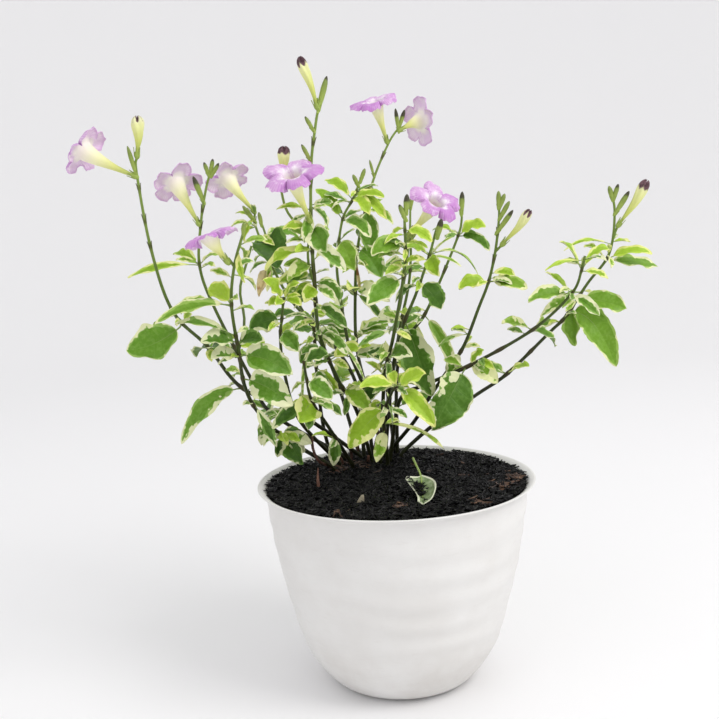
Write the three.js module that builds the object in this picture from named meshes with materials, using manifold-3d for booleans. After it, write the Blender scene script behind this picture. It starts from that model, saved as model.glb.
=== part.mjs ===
// Variegated Chinese violet in a white nursery pot.
// Sizes in millimetres, +Z up, origin at the middle of the pot's flat foot. Heights in the tables below
// are measured with the rim at RIM_LEVEL, and the whole plant is set on its foot at the end.
import * as THREE from 'three';
import { mergeVertices } from 'three/addons/utils/BufferGeometryUtils.js';
import Module from 'manifold-3d';

const POT_HEIGHT = 133;
const RIM_LEVEL = 122;
const FOOT_LEVEL = RIM_LEVEL - POT_HEIGHT;
const RIM_RADIUS = 90;
const LIP_FLARE = 5;
const WALL = 1.8;
const FLOOR = 2;
const RIPPLE_DEPTH = 0.6;
const RIPPLE_PITCH = 17;
const POT_COLUMNS = 24;
const DRAIN_COUNT = 6;
const DRAIN_RADIUS = 3.5;
const DRAIN_CIRCLE = 26;
const GAP = 0.3;
const SOIL_EDGE = 120.2;
const SOIL_DOME = 1.6;
const SOIL_RELIEF = 0.8;
const STEM_FOOT = 104;
const STEM_EXIT = 124;
const STEM_RADIUS_LOW = 1.6;
const STEM_RADIUS_TOP = 1;
const STEM_SIDES = 4;
const BLADE = 0.7;
const PETIOLE = 0.55;
const PETIOLE_SHARE = 0.28;
const LIMB_RADIUS = 19;
const CALYX_LENGTH = 4;
const CALYX_RADIUS = 1.9;

const wasm = await Module();
wasm.setup();

const vec = (x, y, z) => new THREE.Vector3(x, y, z);
const mix = (a, b, t) => a + (b - a) * t;

// Each stem leaves the soil straight up at foot [x, y] and then follows its route.
const STEMS = {
  stem_01: { foot: [-22, 54], route: [[-62, 30, 161], [-98, 16, 183], [-118, 8, 213], [-138, 4, 237],
    [-148, 0, 277], [-153, -2, 325], [-152, -2, 334]] },
  stem_02: { foot: [-34, 56], route: [[-82, 52, 157], [-95, 54, 180], [-119, 56, 234], [-127, 56, 263],
    [-124, 56, 292], [-119, 55, 314], [-115, 55, 326]] },
  stem_03: { foot: [-40, 25], route: [[-72, 14, 149], [-86, -8, 171], [-92, -22, 191], [-93, -34, 215],
    [-94, -46, 244], [-90, -54, 267], [-83, -60, 286]] },
  stem_04: { foot: [-20, 62], route: [[-22, 64, 165], [-28, 70, 185], [-43, 76, 207], [-66, 82, 232],
    [-80, 86, 259], [-90, 88, 287], [-90, 88, 297]] },
  stem_05: { foot: [-15, 46], route: [[-24, 32, 162], [-35, 16, 186], [-45, 0, 219], [-46, -10, 250],
    [-46, -18, 286], [-44, -22, 323], [-40, -24, 347], [-38, -25, 356]] },
  stem_06: { foot: [-14, 70], route: [[-18, 76, 167], [-27, 86, 195], [-33, 96, 242], [-33, 100, 262],
    [-28, 104, 289], [-20, 106, 303], [-14, 107, 316]] },
  stem_07: { foot: [-7, 76], route: [[-16, 94, 164], [-22, 108, 196], [-21, 118, 236], [-18, 124, 266],
    [-11, 128, 294], [-3, 131, 319], [9, 134, 344], [17, 136, 355]] },
  stem_08: { foot: [-9, 38], route: [[-4, 20, 186], [2, 6, 213], [9, -10, 251], [11, -16, 271],
    [11, -20, 290], [12, -20, 297]] },
  stem_09: { foot: [-5, 57], route: [[1, 46, 175], [8, 42, 214], [15, 38, 244], [17, 35, 264],
    [17, 33, 276]] },
  stem_10: { foot: [-8, 50], route: [[1, 32, 185], [9, 20, 218], [18, 12, 240], [27, 4, 265],
    [31, 1, 279], [33, 0, 284]] },
  stem_11: { foot: [4, 68], route: [[6, 66, 181], [15, 68, 205], [27, 70, 220], [39, 73, 243],
    [53, 76, 274], [56, 77, 285], [56, 77, 291]] },
  stem_12: { foot: [-2, 64], route: [[15, 46, 148], [25, 42, 164], [39, 40, 184], [51, 40, 201],
    [62, 40, 227], [69, 40, 244], [74, 40, 264], [77, 40, 286], [77, 40, 296]] },
  stem_13: { foot: [-2, 44], route: [[6, 34, 167], [23, 26, 178], [52, 18, 191], [92, 8, 214],
    [116, 0, 237], [122, -3, 252], [124, -4, 261]] },
  stem_14: { foot: [6, 56], route: [[29, 56, 143], [61, 60, 163], [83, 60, 177], [112, 56, 205],
    [124, 54, 217], [138, 50, 239], [150, 46, 255], [154, 44, 269], [155, 43, 287], [154, 43, 296]] },
  stem_15: { foot: [-37, 36], route: [[-61, 6, 162], [-68, -6, 194], [-69, -14, 218], [-67, -17, 232],
    [-65, -20, 245]] },
  stem_16: { foot: [-44, 63], route: [[-48, 58, 147], [-50, 48, 180], [-50, 40, 209], [-50, 36, 229]] },
  stem_17: { foot: [-28, 30], route: [[-41, -4, 157], [-51, -22, 180], [-53, -30, 195], [-54, -36, 207]] },
  stem_18: { foot: [-4, 30], route: [[-6, 10, 160], [-1, -10, 180], [3, -22, 187]] },
  stem_19: { foot: [2, 76], route: [[0, 98, 175], [14, 122, 230], [22, 136, 272], [24, 142, 296]] },
  stem_20: { foot: [-24, 70], route: [[-42, 96, 185], [-68, 122, 235], [-84, 134, 270], [-90, 138, 288]] },
};

// Side shoots and flower stalks that grow from a stem: its name and the stalk's route.
const SHOOTS = [
  ['stem_03', [[-93, -34, 215], [-89, -28, 232], [-91, -24, 251], [-86, -20, 268], [-83, -18, 277]]],
  ['stem_03', [[-90, -54, 267], [-93, -55, 272]]],
  ['stem_05', [[-46, -10, 250], [-49, -16, 268], [-46, -22, 290]]],
  ['stem_05', [[-46, -17, 280], [-60, -12, 296], [-64, -14, 314]]],
  ['stem_09', [[17, 34, 270], [14, 30, 276]]],
  ['stem_12', [[74, 40, 264], [78, 38, 268]]],
  ['stem_14', [[154, 44, 270], [157, 43, 277]]],
];

// Leaves: stem, height of the node on it, tip, blade width, arch of the midrib, and how far in degrees
// the upper face leans towards the front.
const LEAVES = [
  ['stem_01', 237, [-166, -7, 216], 24, 7, 60],
  ['stem_01', 237, [-114, 10, 243], 8, 6, 30],
  ['stem_01', 183, [-138, 6, 150], 15, 9, 55],
  ['stem_02', 263, [-176, 50, 259], 7, 6, 50],
  ['stem_02', 263, [-147, 68, 272], 9, 5, 30],
  ['stem_02', 263, [-114, 50, 272], 6, 3, 30],
  ['stem_03', 244, [-138, -58, 237], 9, 8, 40],
  ['stem_03', 243, [-127, -42, 243], 7, 6, 40],
  ['stem_03', 224, [-126, -54, 237], 8, 6, 40],
  ['stem_03', 220, [-111, -51, 226], 13, 3, 50],
  ['stem_03', 220, [-77, -52, 224], 12, 3, 50],
  ['stem_03', 210, [-108, -44, 214], 12, 3, 40],
  ['stem_03', 212, [-62, -48, 203], 19, 6, 60],
  ['stem_03', 196, [-63, -42, 182], 20, 6, 60],
  ['stem_03', 244, [-108, -34, 256], 13, 3, 40],
  ['stem_03', 262, [-78, -34, 254], 7, 3, 30],
  ['stem_03', 149, [-62, 0, 134], 16, 5, 60],
  ['stem_03', 149, [-55, 2, 148], 10, 3, 50],
  ['stem_03', 167, [-85, -10, 150], 8, 3, 40],
  ['stem_04', 276, [-78, 66, 257], 25, 9, 20],
  ['stem_04', 276, [-58, 97, 281], 15, 6, 30],
  ['stem_04', 287, [-108, 82, 290], 7, 4, 20],
  ['stem_04', 258, [-88, 76, 242], 10, 3, 40],
  ['stem_05', 253, [-28, -2, 238], 15, 4, 60],
  ['stem_05', 238, [-27, -14, 225], 9, 4, 50],
  ['stem_05', 272, [-77, -21, 265], 10, 6, 35],
  ['stem_05', 240, [-66, -15, 248], 10, 4, 50],
  ['stem_05', 264, [-62, -23, 257], 11, 3, 40],
  ['stem_05', 286, [-38, -29, 272], 16, 4, 50],
  ['stem_05', 276, [-26, -26, 260], 10, 4, 50],
  ['stem_05', 219, [-27, -12, 208], 9, 5, 30],
  ['stem_05', 179, [-15, 5, 167], 13, 4, 50],
  ['stem_15', 231, [-86, -27, 228], 16, 3, 55],
  ['stem_15', 223, [-58, -25, 212], 12, 3, 50],
  ['stem_15', 243, [-76, -25, 257], 14, 2, 45],
  ['stem_16', 180, [-41, 34, 172], 11, 4, 40],
  ['stem_16', 217, [-63, 28, 219], 11, 2, 40],
  ['stem_16', 209, [-34, 30, 215], 12, 4, 40],
  ['stem_17', 206, [-39, -43, 212], 12, 2, 45],
  ['stem_17', 194, [-38, -39, 184], 13, 3, 50],
  ['stem_17', 178, [-60, -34, 167], 18, 3, 60],
  ['stem_06', 289, [-45, 108, 314], 13, 2, 40],
  ['stem_06', 303, [3, 98, 304], 9, 7, 40],
  ['stem_06', 303, [-40, 117, 320], 11, 5, 30],
  ['stem_06', 303, [-8, 90, 294], 11, 6, 20],
  ['stem_06', 274, [-22, 88, 254], 15, 5, 40],
  ['stem_06', 289, [-8, 90, 276], 13, 6, 30],
  ['stem_07', 266, [-1, 110, 245], 19, 8, 40],
  ['stem_07', 266, [-40, 116, 256], 11, 6, 40],
  ['stem_07', 294, [10, 114, 286], 8, 7, 30],
  ['stem_08', 271, [-10, -27, 270], 14, 4, 50],
  ['stem_08', 282, [27, -24, 275], 9, 5, 40],
  ['stem_08', 253, [-17, -28, 237], 17, 5, 60],
  ['stem_09', 254, [0, 31, 260], 10, 5, 40],
  ['stem_10', 265, [12, -4, 272], 10, 4, 40],
  ['stem_10', 265, [30, -9, 254], 11, 2, 40],
  ['stem_10', 247, [35, 6, 231], 16, 4, 50],
  ['stem_10', 265, [62, 12, 254], 4, 15, 20],
  ['stem_10', 222, [23, 4, 175], 24, 5, 65],
  ['stem_11', 220, [48, 60, 179], 10, 9, 50],
  ['stem_11', 220, [8, 60, 212], 11, 5, 30],
  ['stem_11', 274, [72, 70, 281], 12, 6, 40],
  ['stem_11', 274, [75, 70, 264], 10, 7, 40],
  ['stem_11', 274, [35, 82, 281], 8, 6, 20],
  ['stem_12', 244, [94, 32, 240], 12, 3, 45],
  ['stem_12', 244, [48, 34, 241], 12, 4, 40],
  ['stem_12', 197, [39, 34, 181], 10, 3, 40],
  ['stem_13', 190, [25, -6, 158], 27, 2, 60],
  ['stem_13', 191, [69, 7, 182], 13, 3, 50],
  ['stem_13', 191, [61, 14, 202], 9, 2, 40],
  ['stem_13', 214, [72, 3, 221], 9, 4, 40],
  ['stem_13', 237, [102, 7, 255], 6, 4, 20],
  ['stem_13', 237, [87, -10, 240], 13, 7, 40],
  ['stem_13', 237, [134, -12, 227], 12, 5, 40],
  ['stem_13', 252, [110, 0, 272], 6, 6, 20],
  ['stem_13', 252, [142, 2, 266], 8, 8, 30],
  ['stem_14', 218, [153, 40, 184], 25, 8, 60],
  ['stem_14', 230, [163, 42, 226], 13, 5, 50],
  ['stem_14', 255, [188, 50, 246], 11, 7, 40],
  ['stem_14', 255, [179, 38, 264], 9, 5, 40],
  ['stem_14', 255, [134, 42, 265], 7, 5, 30],
  ['stem_18', 186, [24, -37, 164], 12, 5, 50],
  ['stem_18', 186, [-20, -34, 191], 10, 4, 45],
  ['stem_18', 186, [19, -33, 196], 13, 3, 50],
  ['stem_18', 169, [-29, -14, 147], 18, 6, 60],
  ['stem_18', 151, [-12, 4, 132], 9, 4, 40],
  ['stem_18', 156, [34, 4, 141], 5, 7, 20],
];

// Nodes without a leaf of their own above carry an opposite pair, each pair turned 90 degrees from the last.
const PAIRS = [
  ['stem_01', 161, 40, 26], ['stem_01', 211, 130, 22],
  ['stem_02', 157, 100, 26], ['stem_02', 205, 20, 24],
  ['stem_04', 222, 20, 26],
  ['stem_05', 200, 30, 24],
  ['stem_06', 190, 160, 26], ['stem_06', 225, 80, 26],
  ['stem_07', 200, 10, 28], ['stem_07', 234, 100, 26],
  ['stem_08', 200, 100, 26],
  ['stem_09', 190, 150, 24], ['stem_09', 222, 60, 24],
  ['stem_11', 155, 15, 26], ['stem_11', 190, 120, 26],
  ['stem_14', 177, 130, 24],
  ['stem_19', 165, 20, 28], ['stem_19', 205, 110, 28], ['stem_19', 244, 20, 26],
  ['stem_20', 170, 60, 28], ['stem_20', 210, 150, 28], ['stem_20', 248, 60, 26],
];

// Green buds that grow on the stems: stem, foot, tip, thickness.
const GREEN_BUDS = [
  ['stem_01', [-153, -2, 322], [-157, -4, 341], 1.5],
  ['stem_02', [-115, 55, 326], [-113, 55, 334], 1.5],
  ['stem_02', [-121, 56, 305], [-127, 54, 324], 2.2],
  ['stem_03', [-83, -60, 285], [-82, -61, 292], 1.5],
  ['stem_04', [-90, 88, 290], [-98, 84, 302], 1.9],
  ['stem_05', [-38, -25, 355], [-32, -22, 375], 2],
  ['stem_05', [-41, -24, 343], [-47, -26, 354], 1.5],
  ['stem_06', [-14, 107, 315], [-10, 107, 326], 1.9],
  ['stem_06', [-15, 107, 312], [-19, 106, 322], 1.9],
  ['stem_07', [-3, 131, 319], [-6, 130, 332], 1.4],
  ['stem_07', [17, 136, 354], [22, 136, 367], 1.7],
  ['stem_07', [17, 136, 352], [16, 134, 369], 1.7],
  ['stem_08', [12, -20, 296], [14, -20, 310], 2],
  ['stem_08', [12, -20, 295], [8, -20, 305], 1.7],
  ['stem_09', [17, 33, 274], [19, 35, 284], 1.6],
  ['stem_09', [17, 33, 274], [23, 36, 284], 1.6],
  ['stem_10', [33, 0, 282], [37, -2, 295], 2.2],
  ['stem_11', [56, 77, 289], [57, 77, 306], 2.3],
  ['stem_12', [77, 40, 292], [78, 39, 305], 2],
  ['stem_12', [77, 40, 290], [84, 38, 302], 2],
  ['stem_12', [75, 40, 276], [86, 37, 292], 1.9],
  ['stem_14', [154, 43, 294], [152, 42, 306], 1.9],
  ['stem_14', [154, 43, 292], [158, 41, 304], 1.6],
  ['stem_14', [155, 43, 285], [164, 40, 300], 2],
  ['stem_19', [24, 142, 294], [26, 143, 305], 1.8],
  ['stem_20', [-90, 138, 286], [-92, 139, 297], 1.8],
];

// Open flowers: stem, foot of the calyx, middle of the throat, way the flower faces, turn about its axis.
const BLOOMS = {
  bloom_1: ['stem_01', [-153, -2, 322], [-182, 4, 341], [-0.86, 0.25, 0.42], 10],
  bloom_2: ['stem_02', [-125, 56, 290], [-141, 68, 319], [-0.4, 0.62, 0.68], 40],
  bloom_3: ['stem_04', [-90, 88, 297], [-109, 99, 322], [-0.42, 0.55, 0.7], 0],
  bloom_4: ['stem_03', [-93, -55, 272], [-101, -60, 292], [-0.22, -0.12, 0.96], 20],
  bloom_5: ['stem_05', [-46, -22, 290], [-55, -34, 317], [-0.12, -0.5, 0.86], 30],
  bloom_6: ['stem_07', [8, 134, 344], [0, 128, 372], [-0.16, -0.1, 0.98], 0],
  bloom_7: ['stem_07', [17, 136, 353], [36, 150, 362], [0.8, 0.58, 0.1], 50],
  bloom_8: ['stem_09', [14, 30, 276], [34, 18, 299], [0.3, -0.55, 0.78], 15],
};

// Pale closed flowers: stem, foot of the calyx, tip, thickness.
const BUDS = {
  bud_1: ['stem_01', [-152, -2, 334], [-150, -2, 360], 3.6],
  bud_2: ['stem_05', [-38, -25, 356], [-47, -28, 385], 3.2],
  bud_3: ['stem_05', [-64, -14, 314], [-62, -15, 336], 3],
  bud_4: ['stem_12', [78, 38, 268], [96, 32, 290], 3.3],
  bud_5: ['stem_14', [157, 43, 277], [174, 38, 304], 3.6],
};

// A fixed seed gives the same small turns each time the plant is built.
let seed = 20731;
function draw(low, high) {
  seed = (seed * 16807) % 2147483647;
  return mix(low, high, seed / 2147483647);
}

function solidFrom(points, triangles) {
  let volume = 0;
  for (const [a, b, c] of triangles) {
    volume += points[a].dot(points[b].clone().cross(points[c]));
  }
  const flat = new Float32Array(points.length * 3);
  points.forEach((p, i) => p.toArray(flat, i * 3));
  const order = volume < 0 ? triangles.map(([a, b, c]) => [a, c, b]) : triangles;
  const mesh = new wasm.Mesh({ numProp: 3, vertProperties: flat, triVerts: new Uint32Array(order.flat()) });
  return new wasm.Manifold(mesh);
}

// A closed skin through rings of the same number of points; a blade is split alike on both faces.
function loft(rings, blade) {
  const count = rings[0].length;
  const half = count / 2;
  const points = rings.flat();
  const triangles = [];
  for (let i = 0; i + 1 < rings.length; i += 1) {
    for (let j = 0; j < count; j += 1) {
      const a = i * count + j;
      const b = i * count + (j + 1) % count;
      const c = b + count;
      const d = a + count;
      if (blade && j >= half && j < count - 1) {
        triangles.push([a, b, d], [b, c, d]);
      } else {
        triangles.push([a, b, c], [a, c, d]);
      }
    }
  }
  const last = points.length - count;
  if (blade && count === 6) {
    triangles.push([0, 4, 1], [0, 5, 4], [1, 3, 2], [1, 4, 3]);
    triangles.push([last, last + 1, last + 4], [last, last + 4, last + 5]);
    triangles.push([last + 1, last + 2, last + 3], [last + 1, last + 3, last + 4]);
    return solidFrom(points, triangles);
  }
  for (let j = 1; j + 1 < count; j += 1) {
    triangles.push([0, j + 1, j]);
    triangles.push([last, last + j, last + j + 1]);
  }
  return solidFrom(points, triangles);
}

function fuse(solids) {
  return solids.reduce((whole, next) => whole.add(next));
}

// Smooth path through hand-set points.
function spline(route, steps) {
  const pts = route.map((p) => vec(...p));
  const first = pts[0].clone().multiplyScalar(2).sub(pts[1]);
  const end = pts[pts.length - 1].clone().multiplyScalar(2).sub(pts[pts.length - 2]);
  const all = [first, ...pts, end];
  const path = [];
  for (let i = 1; i + 2 < all.length; i += 1) {
    for (let k = 0; k < steps; k += 1) {
      const t = k / steps;
      const [a, b, c, d] = all.slice(i - 1, i + 3);
      const point = b.clone().multiplyScalar(2);
      point.addScaledVector(c.clone().sub(a), t);
      const bend = a.clone().multiplyScalar(2).addScaledVector(b, -5).addScaledVector(c, 4).sub(d);
      point.addScaledVector(bend, t * t);
      const twist = b.clone().multiplyScalar(3).sub(a).addScaledVector(c, -3).add(d);
      point.addScaledVector(twist, t * t * t);
      path.push(point.multiplyScalar(0.5));
    }
  }
  path.push(pts[pts.length - 1]);
  return path;
}

function stemPath(name, steps) {
  const { foot, route } = STEMS[name];
  const exit = [foot[0], foot[1], STEM_EXIT];
  return [vec(foot[0], foot[1], STEM_FOOT), ...spline([exit, ...route], steps)];
}

function tube(path, radiusLow, radiusTop, sides) {
  const rings = [];
  let across = vec(1, 0, 0);
  path.forEach((point, i) => {
    const ahead = path[Math.min(i + 1, path.length - 1)];
    const behind = path[Math.max(i - 1, 0)];
    const along = ahead.clone().sub(behind).normalize();
    across = across.clone().addScaledVector(along, -across.dot(along)).normalize();
    const over = along.clone().cross(across);
    const radius = mix(radiusLow, radiusTop, i / (path.length - 1));
    const ring = [];
    for (let k = 0; k < sides; k += 1) {
      const turn = (k / sides) * Math.PI * 2;
      const spot = point.clone().addScaledVector(across, radius * Math.cos(turn));
      ring.push(spot.addScaledVector(over, radius * Math.sin(turn)));
    }
    rings.push(ring);
  });
  return loft(rings, false);
}

function pointAtHeight(path, height) {
  for (let i = 1; i < path.length; i += 1) {
    if (path[i].z >= height) {
      const share = (height - path[i - 1].z) / (path[i].z - path[i - 1].z);
      return path[i - 1].clone().lerp(path[i], share);
    }
  }
  return path[path.length - 1].clone();
}

// A leaf's midrib arches from its node to its tip; the blade lies across it, folded a little and waved.
function leafFrame(leaf, share) {
  const { base, tip, arch, roll } = leaf;
  const knee = base.clone().lerp(tip, 0.5);
  knee.z += arch * 2;
  const a = base.clone().lerp(knee, share);
  const b = knee.clone().lerp(tip, share);
  const point = a.clone().lerp(b, share);
  const along = b.sub(a).normalize();
  const level = vec(tip.y - base.y, base.x - tip.x, 0);
  if (level.length() < 1) {
    level.set(1, 0, 0);
  }
  level.normalize();
  level.addScaledVector(along, -level.dot(along)).normalize();
  const up = level.clone().cross(along);
  const turn = THREE.MathUtils.degToRad(tip.x < base.x ? roll : -roll);
  const side = level.clone().multiplyScalar(Math.cos(turn)).addScaledVector(up, Math.sin(turn));
  return { point, side, up: side.clone().cross(along) };
}

const BLADE_ROWS = [[0.2, 0.82], [0.5, 1], [0.8, 0.6]];
const SMALL_ROWS = [[0.28, 0.9], [0.66, 0.84]];
const FOLD = 0.13;
const WAVE = 0.06;
const TIP_HALF = 0.35;
const BROAD_WIDTH = 13;

function leafSolid(leaf) {
  const wide = leaf.broad;
  const rows = wide ? BLADE_ROWS : SMALL_ROWS;
  const rings = [];
  const ringAt = (share, half, fold, waveLeft, waveRight) => {
    const { point, side, up } = leafFrame(leaf, share);
    const spot = (across, lift) => point.clone().addScaledVector(side, across).addScaledVector(up, lift);
    const thick = half < 1 ? PETIOLE : BLADE / 2;
    if (wide) {
      rings.push([
        spot(-half, fold + waveLeft + thick), spot(0, thick), spot(half, fold + waveRight + thick),
        spot(half, fold + waveRight - thick), spot(0, -thick), spot(-half, fold + waveLeft - thick),
      ]);
    } else {
      rings.push([
        spot(-half, waveLeft + thick), spot(half, waveRight + thick),
        spot(half, waveRight - thick), spot(-half, waveLeft - thick),
      ]);
    }
  };
  ringAt(0, PETIOLE, 0, 0, 0);
  ringAt(PETIOLE_SHARE, PETIOLE, 0, 0, 0);
  rows.forEach(([share, reach], i) => {
    const half = (leaf.width / 2) * reach;
    const wave = leaf.width * WAVE * (i % 2 === 0 ? 1 : -1);
    ringAt(mix(PETIOLE_SHARE, 1, share), half, half * 2 * FOLD, wave, -wave);
  });
  ringAt(1, TIP_HALF, 0, 0, 0);
  return loft(rings, true);
}

// Points spread over a leaf, for keeping the drawn leaves clear of what stands already.
function leafSpots(leaf) {
  const spots = [];
  for (let i = 1; i <= 8; i += 1) {
    const share = i / 8;
    const { point, side } = leafFrame(leaf, share);
    spots.push(point);
    const along = (share - PETIOLE_SHARE) / (1 - PETIOLE_SHARE);
    if (along > 0.05 && along < 0.95) {
      const half = (leaf.width / 2) * Math.sin(Math.PI * Math.pow(along, 0.8));
      spots.push(point.clone().addScaledVector(side, half), point.clone().addScaledVector(side, -half));
    }
  }
  return spots;
}

const paths = {};
const fine = {};
for (const name of Object.keys(STEMS)) {
  paths[name] = stemPath(name, 1);
  fine[name] = stemPath(name, 8);
}

function near(spots, others, reach) {
  return spots.some((s) => others.some((o) => Math.abs(s.z - o.z) < reach && s.distanceTo(o) < reach));
}

const taken = [];
function take(owner, spots) {
  taken.push({ owner, spots });
}

for (const name of Object.keys(STEMS)) {
  take(name, fine[name]);
}
for (const [stem, route] of SHOOTS) {
  take(stem, spline(route, 6));
}

function flowerSpots(throat, face) {
  const out = vec(...face).normalize();
  const across = vec(out.y, -out.x, 0.01).normalize();
  const over = out.clone().cross(across);
  const spots = [];
  for (const ring of [0.35, 0.7, 1]) {
    for (let k = 0; k < 12; k += 1) {
      const turn = (k / 12) * Math.PI * 2;
      const spot = vec(...throat).addScaledVector(across, LIMB_RADIUS * ring * Math.cos(turn));
      spots.push(spot.addScaledVector(over, LIMB_RADIUS * ring * Math.sin(turn)));
    }
  }
  return spots;
}

for (const [name, [, foot, throat, face]] of Object.entries(BLOOMS)) {
  const line = [0.2, 0.4, 0.6, 0.8, 1].map((t) => vec(...foot).lerp(vec(...throat), t));
  take(name, [...line, ...flowerSpots(throat, face)]);
}
for (const [name, [, foot, tip]] of Object.entries(BUDS)) {
  take(name, [0.1, 0.3, 0.5, 0.7, 0.9, 1].map((t) => vec(...foot).lerp(vec(...tip), t)));
}

const leaves = [];
for (const [stem, height, tip, width, arch, roll] of LEAVES) {
  const leaf = { stem, base: pointAtHeight(paths[stem], height), tip: vec(...tip), width, arch, roll };
  leaf.broad = width >= BROAD_WIDTH;
  leaves.push(leaf);
  take(stem, leafSpots(leaf));
}

const TURNS = [0, 25, -25, 50, -50, 75, -75];
const SHRINKS = [1, 0.8, 0.62];
const CLEAR = 3.4;
const CLEAR_OWN = 1.6;
const LOWEST = 126;

function clearOfAll(leaf) {
  const spots = leafSpots(leaf);
  if (spots.some((s) => s.z < LOWEST && Math.hypot(s.x, s.y) < RIM_RADIUS + 4)) {
    return false;
  }
  return !taken.some(({ owner, spots: others }) => {
    const own = owner === leaf.stem;
    return near(own ? spots.slice(4) : spots, others, own ? CLEAR_OWN : CLEAR);
  });
}

for (const [stem, height, azimuth, length] of PAIRS) {
  for (const half of [0, 180]) {
    const base = pointAtHeight(paths[stem], height);
    const jitter = draw(-18, 18);
    const rise = draw(-4, 10);
    const size = length * draw(0.85, 1.12);
    const width = size * draw(0.46, 0.6);
    const roll = draw(0, 50);
    let placed = null;
    for (const shrink of SHRINKS) {
      for (const turn of TURNS) {
        const heading = THREE.MathUtils.degToRad(azimuth + half + jitter + turn);
        const tip = base.clone();
        tip.x += Math.cos(heading) * size * shrink;
        tip.y += Math.sin(heading) * size * shrink;
        tip.z += rise * shrink;
        const leaf = { stem, base, tip, width: width * shrink, arch: size * shrink * 0.16, roll };
        if (!placed && clearOfAll(leaf)) {
          placed = leaf;
        }
      }
    }
    if (placed) {
      leaves.push(placed);
      take(stem, leafSpots(placed));
    }
  }
}

// Straight body of revolution between two points, given as [share along, radius] pairs.
function spindle(foot, tip, stations, sides) {
  const start = vec(...foot);
  const along = vec(...tip).sub(start);
  const length = along.length();
  along.normalize();
  const across = Math.abs(along.z) > 0.9 ? vec(1, 0, 0) : vec(0, 0, 1);
  across.addScaledVector(along, -across.dot(along)).normalize();
  const over = along.clone().cross(across);
  const rings = stations.map(([share, radius]) => {
    const ring = [];
    for (let k = 0; k < sides; k += 1) {
      const turn = (k / sides) * Math.PI * 2;
      const spot = start.clone().addScaledVector(along, length * share);
      spot.addScaledVector(across, radius * Math.cos(turn));
      ring.push(spot.addScaledVector(over, radius * Math.sin(turn)));
    }
    return ring;
  });
  return loft(rings, false);
}

// The calyx is a small cup that the flower's tube stands in.
const CALYX_FLOOR = 2.2;
function calyx(foot, toward) {
  const start = vec(...foot);
  const along = vec(...toward).sub(start).normalize();
  const base = start.clone().addScaledVector(along, -1.2);
  const tip = start.clone().addScaledVector(along, CALYX_LENGTH);
  const whole = CALYX_LENGTH + 1.2;
  return spindle(base.toArray(), tip.toArray(), [
    [0, 0.9], [(1.2 + 1.6) / whole, CALYX_RADIUS], [1, CALYX_RADIUS], [1, 1.45],
    [(1.2 + CALYX_FLOOR) / whole, 1.4],
  ], 6);
}

// The corolla: a slim tube that widens to an open throat and five rounded, waved lobes.
const LIMB_COLUMNS = 15;
function corolla(foot, throat, face, turnDegrees) {
  const start = vec(...foot);
  const mouth = vec(...throat);
  const out = vec(...face).normalize();
  const tubeWay = mouth.clone().sub(start).normalize();
  const first = start.clone().addScaledVector(tubeWay, CALYX_FLOOR + GAP);
  const length = mouth.distanceTo(first);
  const knee = mouth.clone().addScaledVector(out, -length * 0.35);
  const lean = Math.abs(out.z) > 0.9 ? vec(1, 0, 0) : vec(0, 0, 1);
  const ringAt = (share, radiusOf, liftOf) => {
    const a = first.clone().lerp(knee, share);
    const b = knee.clone().lerp(mouth, share);
    const point = a.clone().lerp(b, share);
    const along = share >= 1 ? out.clone() : b.sub(a).normalize();
    const across = lean.clone().addScaledVector(along, -lean.dot(along)).normalize();
    const over = along.clone().cross(across);
    const ring = [];
    for (let k = 0; k < LIMB_COLUMNS; k += 1) {
      const turn = (k / LIMB_COLUMNS) * Math.PI * 2 + THREE.MathUtils.degToRad(turnDegrees);
      const spot = point.clone().addScaledVector(along, liftOf(k));
      spot.addScaledVector(across, radiusOf(k) * Math.cos(turn));
      ring.push(spot.addScaledVector(over, radiusOf(k) * Math.sin(turn)));
    }
    return ring;
  };
  const lobe = (k) => LIMB_RADIUS * [0.68, 1, 1][k % 3];
  const wave = (k) => [-0.4, 0.9, -1.1][k % 3];
  const same = (value) => () => value;
  return loft([
    ringAt(0, same(1), same(0)),
    ringAt(0.5, same(2.1), same(0)),
    ringAt(0.92, same(5.6), same(0)),
    ringAt(1, lobe, wave),
    ringAt(1, lobe, (k) => wave(k) + BLADE),
    ringAt(0.96, same(4.7), same(0.6)),
    ringAt(0.6, same(1.5), same(0)),
  ], false);
}

// Outline of the pot's wall above its rounded foot, as [height above the foot, radius].
const POT_OUTLINE = [
  [0, 40], [3, 46.5], [8, 51.5], [16, 57.5], [26, 63], [40, 68], [56, 72], [72, 76],
  [88, 79.2], [104, 81.6], [118, 83.4], [128, 84.8], [133, 85.4],
];

function wallRadius(height) {
  const next = POT_OUTLINE.findIndex(([level]) => level >= height);
  if (next < 1) {
    return POT_OUTLINE[0][1];
  }
  const [lowLevel, lowRadius] = POT_OUTLINE[next - 1];
  const [level, radius] = POT_OUTLINE[next];
  return mix(lowRadius, radius, (height - lowLevel) / (level - lowLevel));
}

// The pot's wall carries soft level ripples that wander a little on their way round.
function ring(radius, height, wander) {
  const points = [];
  for (let k = 0; k < POT_COLUMNS; k += 1) {
    const turn = (k / POT_COLUMNS) * Math.PI * 2;
    const lift = wander * Math.sin(2 * turn + height);
    points.push(vec(radius * Math.cos(turn), radius * Math.sin(turn), FOOT_LEVEL + height + lift));
  }
  return points;
}

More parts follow.
